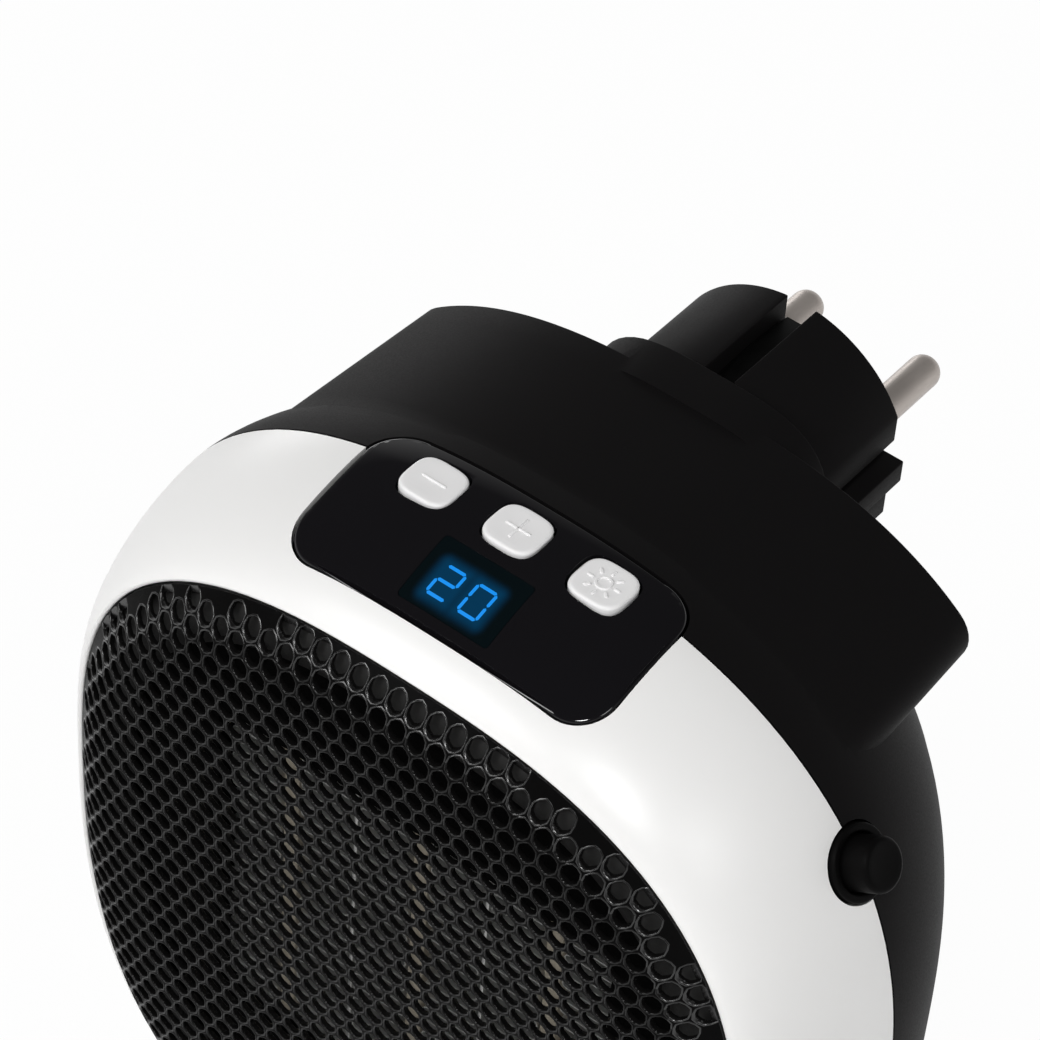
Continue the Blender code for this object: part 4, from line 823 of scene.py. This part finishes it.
def buildDigits():
    paint["digitLight"], tree, shader = newMaterial("digitLight", {
        "Base Color": (0.0, 0.02, 0.06, 1.0), "Roughness": 0.4, "Emission Color": (*digits["colour"], 1.0)})
    # the segments shine a little unevenly, as lit ones do
    glow = addNode(tree, "TexNoise", {"Scale": 900.0}).outputs["Fac"]
    level = ramp(tree, glow, digits["dimmest"], digits["brightest"])
    tree.links.new(level, shader.inputs["Emission Strength"])
    tall, half = digits["rear"] - digits["front"], digits["stroke"] / 2
    tip = digits["gap"] / 2 * sqrt(2)
    mesh = bmesh.new()
    for place, letters in enumerate(shown):
        startX = digits["left"] + place * digits["step"]
        for letter in letters:
            first, last = [
                Vector((half + u * (digits["width"] - 2 * half), -half - v * (tall - 2 * half)))
                for u, v in segments[letter]]
            along = (last - first).normalized()
            side = Vector((-along.y, along.x)) * half
            start, end = first + along * (tip + half), last - along * (tip + half)
            near, far = first + along * tip, last - along * tip
            top = []
            for point in (near, start + side, end + side, far, end - side, start - side):
                x = startX + point.x + digits["slant"] * (point.y + tall / 2)
                y = digits["rear"] + point.y
                top.append((x, y, topHeight(x, y) + digits["lift"]))
            addMesh(mesh, loftLoops([[(x, y, z - digits["thick"]) for x, y, z in top], top]))
    setPiece(rawObject("displayDigits", mesh), "digitLight")


buildWindow()
buildDigits()
print("panel and display built")

# White keys with raised signs
signs = {
    "long": 1.9, "half": 0.19, "rise": 0.2, "sink": 0.08, "foot": -0.25, "ringOuter": 1.15, "ringInner": 0.78,
    "ringRound": 0.07, "rays": 8, "rayIn": 1.5, "rayOut": 2.5, "rayWide": 1.15,
}


def raisedBar(centre, along, length, baseZ, half=signs["half"]):
    # a low rounded bar lying on the key
    side = Vector((-along.y, along.x, 0.0))
    rise = signs["rise"]
    loops = []
    for grow, z in ((1.0, signs["foot"]), (1.0, rise * 0.35), (0.8, rise * 0.8), (0.45, rise)):
        loop = []
        for end in (1, -1):
            for angle in evenly(-pi / 2, pi / 2, 6):
                reach = (along * cos(angle) + side * sin(angle)) * half * grow
                loop.append(centre + (along * (length - half) + reach) * end + Vector((0.0, 0.0, baseZ + z)))
        loops.append(loop)
    return loftLoops(loops)


def signMeshes(name, centre, baseZ):
    if name != "Mode":
        ways = [(1.0, 0.0, 0.0)] if name == "Minus" else [(1.0, 0.0, 0.0), (0.0, 1.0, 0.0)]
        return [raisedBar(centre, Vector(way), signs["long"], baseZ) for way in ways]
    # a ring with rays
    outer, inner, turn, rise, foot = take(signs, "ringOuter ringInner ringRound rise foot")
    loops = []
    for radius, z in (
            (outer, foot), (outer, rise * 0.5), (outer - turn, rise),
            (inner + turn, rise), (inner, rise * 0.5), (inner, foot)):
        loops.append([point + centre for point in levelLoop(radius, baseZ + z, 40)])
    made = [loftLoops(loops, closed=True)]
    middle, half = (signs["rayOut"] + signs["rayIn"]) / 2, (signs["rayOut"] - signs["rayIn"]) / 2
    for angle in turns(signs["rays"]):
        way = Vector((cos(angle), sin(angle), 0.0))
        made.append(raisedBar(centre + way * middle, way, half, baseZ, signs["half"] * signs["rayWide"]))
    return made


def buildKeys():
    halfX, halfY, sides, soft, foot, stem = take(keys, "halfX halfY power round foot stem")
    for index, name in enumerate(("Minus", "Plus", "Mode")):
        x = panel["shift"] + keys["pitch"] * (index - 1)
        topZ = topHeight(x, keys["y"]) + keys["proud"]
        lowZ = topHeight(x, keys["y"]) - panel["thick"]
        sections = [
            (stem, stem, 2.0, keys["stemLowZ"]), (stem, stem, 2.0, lowZ),
            (halfX - foot, halfY - foot, sides, lowZ), (halfX, halfY, sides, lowZ + foot)]
        for angle in quarter(7):
            inset = soft * (1 - cos(angle))
            z = topZ - soft * keys["flat"] * (1 - sin(angle))
            sections.append((halfX - inset, halfY - inset, sides, z))
        # the top is very slightly dished
        for share in (0.75, 0.5, 0.25, 0.06):
            z = topZ - keys["dish"] * (1 - share * share)
            sections.append(((halfX - soft) * share, (halfY - soft) * share, 2.0 + 2.0 * share, z))
        cap = loftLoops([
            [(u, v, z) for u, v in keyOutline(x, wide, tall, bulge)] for wide, tall, bulge, z in sections])
        sign = signMeshes(name, Vector((x, keys["y"], 0.0)), topZ - signs["sink"])
        made = rawObject(f"key{name}", joinMeshes([cap] + sign))
        node = name.lower()
        setPiece(made, "keyWhite", [f"button_{node}"], 40.0, f"key_{node}")


buildKeys()
print("keys built")


# Power button: a round knob in a ring at the right side
def addButtonPiece(name, profile, closed, node, body):
    mesh = loftLoops([levelLoop(radius, z) for radius, z in profile], closed)
    mesh.transform(powerPlace())
    setPiece(rawObject(name, mesh), "buttonBlack", [node], body=body)


def buildPower():
    radius, inner, proud, edge, floorZ, depth, stem = take(power, "radius inner proud edge floor depth stem")
    profile = [(radius, -depth), (radius, proud - edge)]
    profile += [(radius - edge * (1 - cos(a)), proud - edge * (1 - sin(a))) for a in quarter(4)[1:]]
    profile += [(inner + edge * (1 - sin(a)), proud - edge * (1 - cos(a))) for a in quarter(4)]
    profile += [(inner, floorZ), (stem + gap, floorZ), (stem + gap, -depth)]
    addButtonPiece("powerRing", profile, True, "power_socket", "heater")

    knob, top, soft, foot = take(power, "knob knobProud round foot")
    lowZ = floorZ + power["travel"] + gap
    profile = [(stem, power["stemLow"]), (stem, lowZ), (knob - foot, lowZ), (knob, lowZ + foot)]
    profile += [(knob - soft * (1 - cos(a)), top - soft * (1 - sin(a))) for a in quarter(8)]
    for share in (0.8, 0.55, 0.3, 0.06):
        profile.append(((knob - soft) * share, top - power["dish"] * (1 - share * share)))
    addButtonPiece("powerKnob", profile, False, "power_button", "key_power")


buildPower()
print("power button built")

# Wall plug: rounded body with its earth slots, side flats and ribs
plug = {
    "radius": 18.5, "length": 17.8, "slotWidth": 4.4, "slotDepth": 4.6, "flatCut": 2.1, "grooveCut": 1.4,
    "grooveHalf": 4.3, "ribHalf": 1.8, "ribSink": 0.3, "edge": 0.22, "steps": 22, "neck": 11.0, "spigot": 9.0,
    "neckEndY": -20.9, "spigotEndY": -24.9, "overlap": 3.0, "pinRadius": 2.4, "pinSpacing": 19.0,
    "pinLength": 19.0, "pinRoot": 8.0, "pinNose": 2.0, "pinFlat": 0.28, "holeGap": 0.12, "holeEdge": 0.3,
}


def plugOutline():
    radius, halfSlot = plug["radius"], plug["slotWidth"] / 2
    flatX = radius - plug["flatCut"]
    grooveX = flatX - plug["grooveCut"]
    corner = [(halfSlot, radius - plug["slotDepth"])]
    for angle in evenly(acos(halfSlot / radius), acos(flatX / radius), plug["steps"]):
        corner.append((radius * cos(angle), radius * sin(angle)))
    corner += [
        (flatX, plug["grooveHalf"]), (grooveX, plug["grooveHalf"]), (grooveX, plug["ribHalf"]),
        (radius - plug["ribSink"], plug["ribHalf"])]
    right = corner + [(x, -z) for x, z in reversed(corner)]
    return right + [(-x, z) for x, z in reversed(right)]


def buildPlug():
    neck, spigot, neckY = take(plug, "neck spigot neckEndY")
    outline = plugOutline()
    made = rawObject("plugBody", loftLoops([flatLoop(outline, y) for y in (-plug["length"], 0.0)]))
    softenEdges(made, plug["edge"], 35.0)
    startY, endY = plug["overlap"] - plug["length"], plug["spigotEndY"]
    profile = [(neck, startY), (neck, neckY), (spigot, neckY), (spigot, endY)]
    combine(made, turnedMesh(profile), "UNION")
    radius, root, nose, edge = take(plug, "pinRadius pinRoot pinNose holeEdge")
    pinX, bore = plug["pinSpacing"] / 2, radius + plug["holeGap"]
    profile = [(bore, -root), (bore, -edge), (bore + edge, 0.001), (bore + edge, 2.0)]
    combine(made, joinMeshes([turnedMesh(profile, 0.0, side * pinX, 40) for side in (-1, 1)]))
    setPiece(made, "blackShell", ["plug_body"], body="plug")

    noseY, flat = plug["pinLength"] - nose, plug["pinFlat"]
    profile = [(radius, edge - root), (radius, noseY)]
    profile += [(radius * (flat + (1 - flat) * cos(a)), noseY + nose * sin(a)) for a in quarter(10)[1:]]
    for side, name in ((-1, "Left"), (1, "Right")):
        made = rawObject(f"pin{name}", turnedMesh(profile, 0.0, side * pinX, 48))
        setPiece(made, "nickel", [f"plug_pin_{name.lower()}"], body="plug")


buildPlug()

earth = {"half": 1.9, "floor": 14.2, "thick": 0.8, "bow": 0.7, "edge": 0.15, "endGap": 0.3, "steps": 28}


def buildEarthSprings():
    half, edge, endGap, steps = take(earth, "half edge endGap steps")
    for side, name in ((1, "Top"), (-1, "Bottom")):
        loops = []
        for share in evenly(0.0, 1.0, steps):
            y = blend(endGap - plug["length"], -endGap, share)
            low = earth["floor"] + earth["bow"] * sin(pi * share)
            high = low + earth["thick"]
            outline = [
                (-half, low + edge), (edge - half, low), (half - edge, low), (half, low + edge),
                (half, high - edge), (half - edge, high), (edge - half, high), (-half, high - edge)]
            loops.append(flatLoop([(x, side * z) for x, z in outline], y))
        # their near-black finish is painted shade of the deep slot, not the steel's own colour
        made = rawObject(f"earthSpring{name}", loftLoops(loops))
        setPiece(made, "springSteelPaintedShade", [f"earth_contact_{name.lower()}"], body="plug")


buildEarthSprings()
print("plug built")

# Rear air inlet: slots with round ends either side of a spine
inlet = {"radius": 25.7, "slot": 3.2, "pitch": 6.4, "margin": 2.6, "spine": 3.0, "edge": 0.35}


def buildInlet():
    frontY, backY, midZ = domeEndY - shell["wall"], domeEndY, housing["inletZ"]
    radius, edge, half = inlet["radius"], inlet["edge"], inlet["slot"] / 2
    turn = edge * 0.3
    profile = [
        (radius, frontY), (radius, backY - edge), (radius - turn, backY - turn), (radius - edge, backY)]
    made = rawObject("inletGrille", turnedMesh(profile, midZ, 0.0, 96))
    reach = radius - inlet["margin"]
    rows = int(reach / inlet["pitch"])
    slots = []
    for row in range(-rows, rows + 1):
        z = row * inlet["pitch"]
        room = reach ** 2 - (abs(z) + half) ** 2
        if room <= (inlet["spine"] + inlet["slot"]) ** 2:
            continue
        near, far = inlet["spine"] / 2, sqrt(room)
        for side in (-1, 1):
            middle, halfLong = side * (near + far) / 2, (far - near) / 2
            loops = []
            for grow, y in (
                    (0.0, frontY - 2.0), (0.0, backY - edge), (edge, backY + 0.01), (edge, backY + 2.0)):
                tall = half + grow
                outline = roundedRectangle(middle, midZ + z, halfLong + grow, tall, tall - 0.001, 8)
                loops.append(flatLoop(outline, y))
            slots.append(loftLoops(loops))
    combine(made, joinMeshes(slots))
    setPiece(made, "blackShell", ["inlet_grille"])


buildInlet()
print("inlet built")

# Heating core: folded fins between ceramic strips
core = {
    "frontY": -74.3, "backY": -59.3, "centreZ": -46.0, "height": 56.0, "pitch": 21.3, "strip": 2.5,
    "stripEdge": 0.2, "finWidth": 8.5, "finThick": 0.16, "legs": 44, "divider": 0.6, "dividerEdge": 0.1,
}


def finRibbon(centreX):
    legs, half = core["legs"], core["finThick"] / 2
    rise = (core["height"] - core["finThick"]) / legs
    bend = rise / 2
    swing = core["finWidth"] / 2 - bend - half
    lowZ = core["centreZ"] - core["height"] / 2 + half + bend / 2
    path = []
    side = -1
    for leg in range(legs):
        z = lowZ + rise * leg
        path += [(centreX + side * swing * share, z) for share in (1.0, 0.3, -0.3)]
        side = -side
        for angle in evenly(-pi / 2, pi / 2, 4) if leg < legs - 1 else ():
            path.append((centreX + side * (swing + bend * cos(angle)), z + bend + bend * sin(angle)))
    path.append((centreX + side * swing, z))
    frontY, backY = take(core, "frontY backY")
    loops = []
    for index, (x, z) in enumerate(path):
        before, after = path[max(index - 1, 0)], path[min(index + 1, len(path) - 1)]
        way = Vector((after[0] - before[0], after[1] - before[1])).normalized() * half
        loops.append([
            (x + way.y * hand, y, z - way.x * hand)
            for hand, y in ((1, frontY), (-1, frontY), (-1, backY), (1, backY))])
    return loftLoops(loops)


def barMesh(centreX, width, edge):
    # a bar of the core's height and depth with rounded corners
    frontY, backY = take(core, "frontY backY")
    halfX, halfZ = width / 2, core["height"] / 2
    outline = roundedRectangle(0.0, 0.0, halfX, halfZ, edge, 3)
    loops = []
    for inset, y in (
            (edge, frontY), (edge * 0.3, frontY + edge * 0.3), (0.0, frontY + edge), (0.0, backY - edge),
            (edge, backY)):
        narrow, short = 1 - inset / halfX, 1 - inset / halfZ
        loops.append(flatLoop([(centreX + u * narrow, core["centreZ"] + v * short) for u, v in outline], y))
    return loftLoops(loops)


def buildCore():
    finShift = core["strip"] / 2 + gap + core["finWidth"] / 2
    for index in range(3):
        x = (index - 1) * core["pitch"]
        made = rawObject(f"ceramicStrip{index + 1}", barMesh(x, core["strip"], core["stripEdge"]))
        setPiece(made, "ceramic", [f"ptc_strip_{index + 1}"])
        for number, side in ((index * 2 + 1, -1), (index * 2 + 2, 1)):
            made = rawObject(f"finPack{number}", finRibbon(x + side * finShift))
            setPiece(made, "finMetal", [f"fin_pack_{number}"])
    for index in range(2):
        x = (index - 0.5) * core["pitch"]
        made = rawObject(f"dividerPlate{index + 1}", barMesh(x, core["divider"], core["dividerEdge"]))
        setPiece(made, "finMetal", [f"divider_plate_{index + 1}"])


buildCore()
print("heating core built")

# Fan: hub with a rounded nose and seven swept blades
fan = {
    "centreZ": -46.0, "frontY": -52.0, "backY": -40.0, "hub": 11.0, "tip": 30.0, "blades": 7, "bore": 1.3,
    "noseRound": 1.2, "hubWall": 1.4, "bossWall": 2.2, "web": 3.0, "bossSink": 1.0, "root": 1.0, "thick": 1.0,
    "thinning": 0.35, "rootSweep": 52.0, "tipSweep": 34.0, "bow": 0.1, "clear": 1.0, "steps": 10, "parts": 8,
}


def buildFan():
    hub, bore, turn, frontY, backY, midZ, parts = take(fan, "hub bore noseRound frontY backY centreZ parts")
    inside, boss = hub - fan["hubWall"], bore + fan["bossWall"]
    webY, bossY = frontY + fan["web"], backY - fan["bossSink"]
    profile = [(bore, frontY)]
    profile += [(hub - turn * (1 - sin(a)), frontY + turn * (1 - cos(a))) for a in quarter(5)]
    profile += [(hub, backY), (inside, backY), (inside, webY), (boss, webY), (boss, bossY), (bore, bossY)]
    mesh = turnedMesh(profile, midZ, closed=True)
    front, back = frontY + fan["clear"], backY - fan["clear"]
    shares = evenly(0.0, 1.0, parts)
    order = [(1, along) for along in shares] + [(-1, along) for along in reversed(shares)]
    for start in turns(fan["blades"]):
        loops = []
        for share in evenly(0.0, 1.0, fan["steps"]):
            radius = blend(hub - fan["root"], fan["tip"], share)
            sweep = radians(blend(fan["rootSweep"], fan["tipSweep"], share))
            half = fan["thick"] * (1.0 - fan["thinning"] * share) / 2
            loop = []
            for side, along in order:
                angle = start + sweep * (along - 0.5) - fan["bow"] * sin(pi * along)
                body = half * (0.85 * sqrt(1 - (2 * along - 1) ** 2) + 0.15)
                y = blend(front, back, along) - side * body
                loop.append((radius * cos(angle), y, midZ + radius * sin(angle)))
            loops.append(loop)
        addMesh(mesh, loftLoops(loops))
    setPiece(rawObject("fanImpeller", mesh), "fanBlack", ["fan_impeller"], 40.0, "fan")


buildFan()
print("fan built")

# The remaining inner nodes keep their solids and get their own finishes
carried = {
    "fanBlack": (
        "switch_minus", "switch_plus", "switch_mode", "display_module", "power_switch", "air_duct",
        "motor_bracket", "temperature_sensor"),
    "boardGreen": ("control_board", "power_board"), "screwSteel": ("swivel_retainer", "motor_shaft"),
    "motorSteel": ("thermal_cutout", "fan_motor"),
    "baffleBlack": ("core_frame",), "relayBlue": ("power_relay",),
}
for name, nodes in carried.items():
    for node in nodes:
        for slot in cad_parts[node].material_slots:
            slot.material = paint[name]
print("inner nodes finished:", sum(len(nodes) for nodes in carried.values()))

# Stage: pale floor that keeps a shadow, soft lamps, plain world; its lengths are metres
stage = {
    "floorDrop": 0.0001, "floorSize": 6.0, "floorColour": (0.86, 0.86, 0.86), "floorShine": 0.97,
    "worldLow": 0.85, "worldHigh": 0.07, "worldRise": 0.55, "middle": (0.0, -0.05, -0.03),
}
lamps = {  # azimuth, elevation, distance, size, power
    "keyLamp": (-30.0, 42.0, 1.5, 0.6, 7.5),
    "edgeLamp": (-27.0, 19.0, 1.5, 0.22, 1.5),
    "topLamp": (28.0, 55.0, 1.4, 0.25, 7.5),
    "fillLamp": (75.0, 42.0, 1.7, 0.5, 3.6),
    "rimLamp": (-126.0, 4.0, 1.5, 0.7, 3.5),
}


def wayTo(azimuth, elevation):
    # direction from the object, with the azimuth counted from its front
    return Vector((sin(azimuth) * cos(elevation), -cos(azimuth) * cos(elevation), sin(elevation)))


def buildFloor():
    material, tree, shader = newMaterial("paleFloor", {
        "Base Color": (*stage["floorColour"], 1.0), "Roughness": 0.9, "Specular IOR Level": 0.0})
    rays = addNode(tree, "LightPath").outputs

    def larger(first, second):
        return addNode(tree, "Math", {}, {0: first, 1: second}, operation="MAXIMUM").outputs["Value"]

    seen = larger(larger(rays["Is Camera Ray"], rays["Is Glossy Ray"]), rays["Is Transmission Ray"])
    share = addNode(tree, "Math", {1: stage["floorShine"]}, {0: seen}, operation="MULTIPLY")
    glow = addNode(tree, "Emission")
    mix = addNode(tree, "MixShader", {}, {
        "Fac": share.outputs["Value"], 1: shader.outputs["BSDF"], 2: glow.outputs["Emission"]})
    tree.links.new(mix.outputs["Shader"], tree.nodes["Material Output"].inputs["Surface"])
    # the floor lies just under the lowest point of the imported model
    half, z = stage["floorSize"] / 2, cadBox[0].z - stage["floorDrop"]
    corners = [(-half, -half, z), (half, -half, z), (half, half, z), (-half, half, z)]
    data = bpy.data.meshes.new("floor")
    data.from_pydata(corners, [], [(0, 1, 2, 3)])
    data.materials.append(material)
    addToScene("floor", data)


def buildLight():
    world = bpy.data.worlds.new("studio")
    bpy.context.scene.world = world
    world.use_nodes = True
    tree = world.node_tree
    split = addNode(tree, "SeparateXYZ", {}, {"Vector": addNode(tree, "TexCoord").outputs["Generated"]})
    level = ramp(tree, split.outputs["Z"], stage["worldLow"], stage["worldHigh"], 0.0, stage["worldRise"])
    tree.links.new(level, tree.nodes["Background"].inputs["Strength"])
    tree.nodes["Background"].inputs["Color"].default_value = (1.0, 1.0, 1.0, 1.0)
    for name, (azimuth, elevation, distance, width, energy) in lamps.items():
        way = wayTo(radians(azimuth), radians(elevation))
        light = bpy.data.lights.new(name, "AREA")
        light.shape = "DISK"
        light.size = width
        light.energy = energy
        made = addToScene(name, light)
        made.location = Vector(stage["middle"]) + way * distance
        made.rotation_euler = way.to_track_quat("Z", "Y").to_euler()


buildFloor()
buildLight()
print("stage and lamps set")

# Camera fitted to the photograph; its place is in metres
camera = {
    "azimuth": 35.53, "elevation": 45.281, "roll": 4.218, "place": (0.21581, -0.36069, 0.39824),
    "lens": 152.87, "sensor": 36.0,
}


def buildCamera():
    azimuth, elevation, roll = (radians(angle) for angle in take(camera, "azimuth elevation roll"))
    back = wayTo(azimuth, elevation)
    right = Vector((cos(azimuth), sin(azimuth), 0.0))
    up = back.cross(right)
    across = right * cos(roll) + up * sin(roll)
    tall = up * cos(roll) - right * sin(roll)
    data = bpy.data.cameras.new("camera")
    data.sensor_width = camera["sensor"]
    data.lens = camera["lens"]
    data.clip_start = 0.01
    made = addToScene("camera", data)
    turn = Matrix((across, tall, back)).transposed().to_4x4()
    turn.translation = Vector(camera["place"])
    made.matrix_world = turn
    bpy.context.scene.camera = made


buildCamera()
bpy.context.scene.view_settings.view_transform = "Standard"
print("camera set")
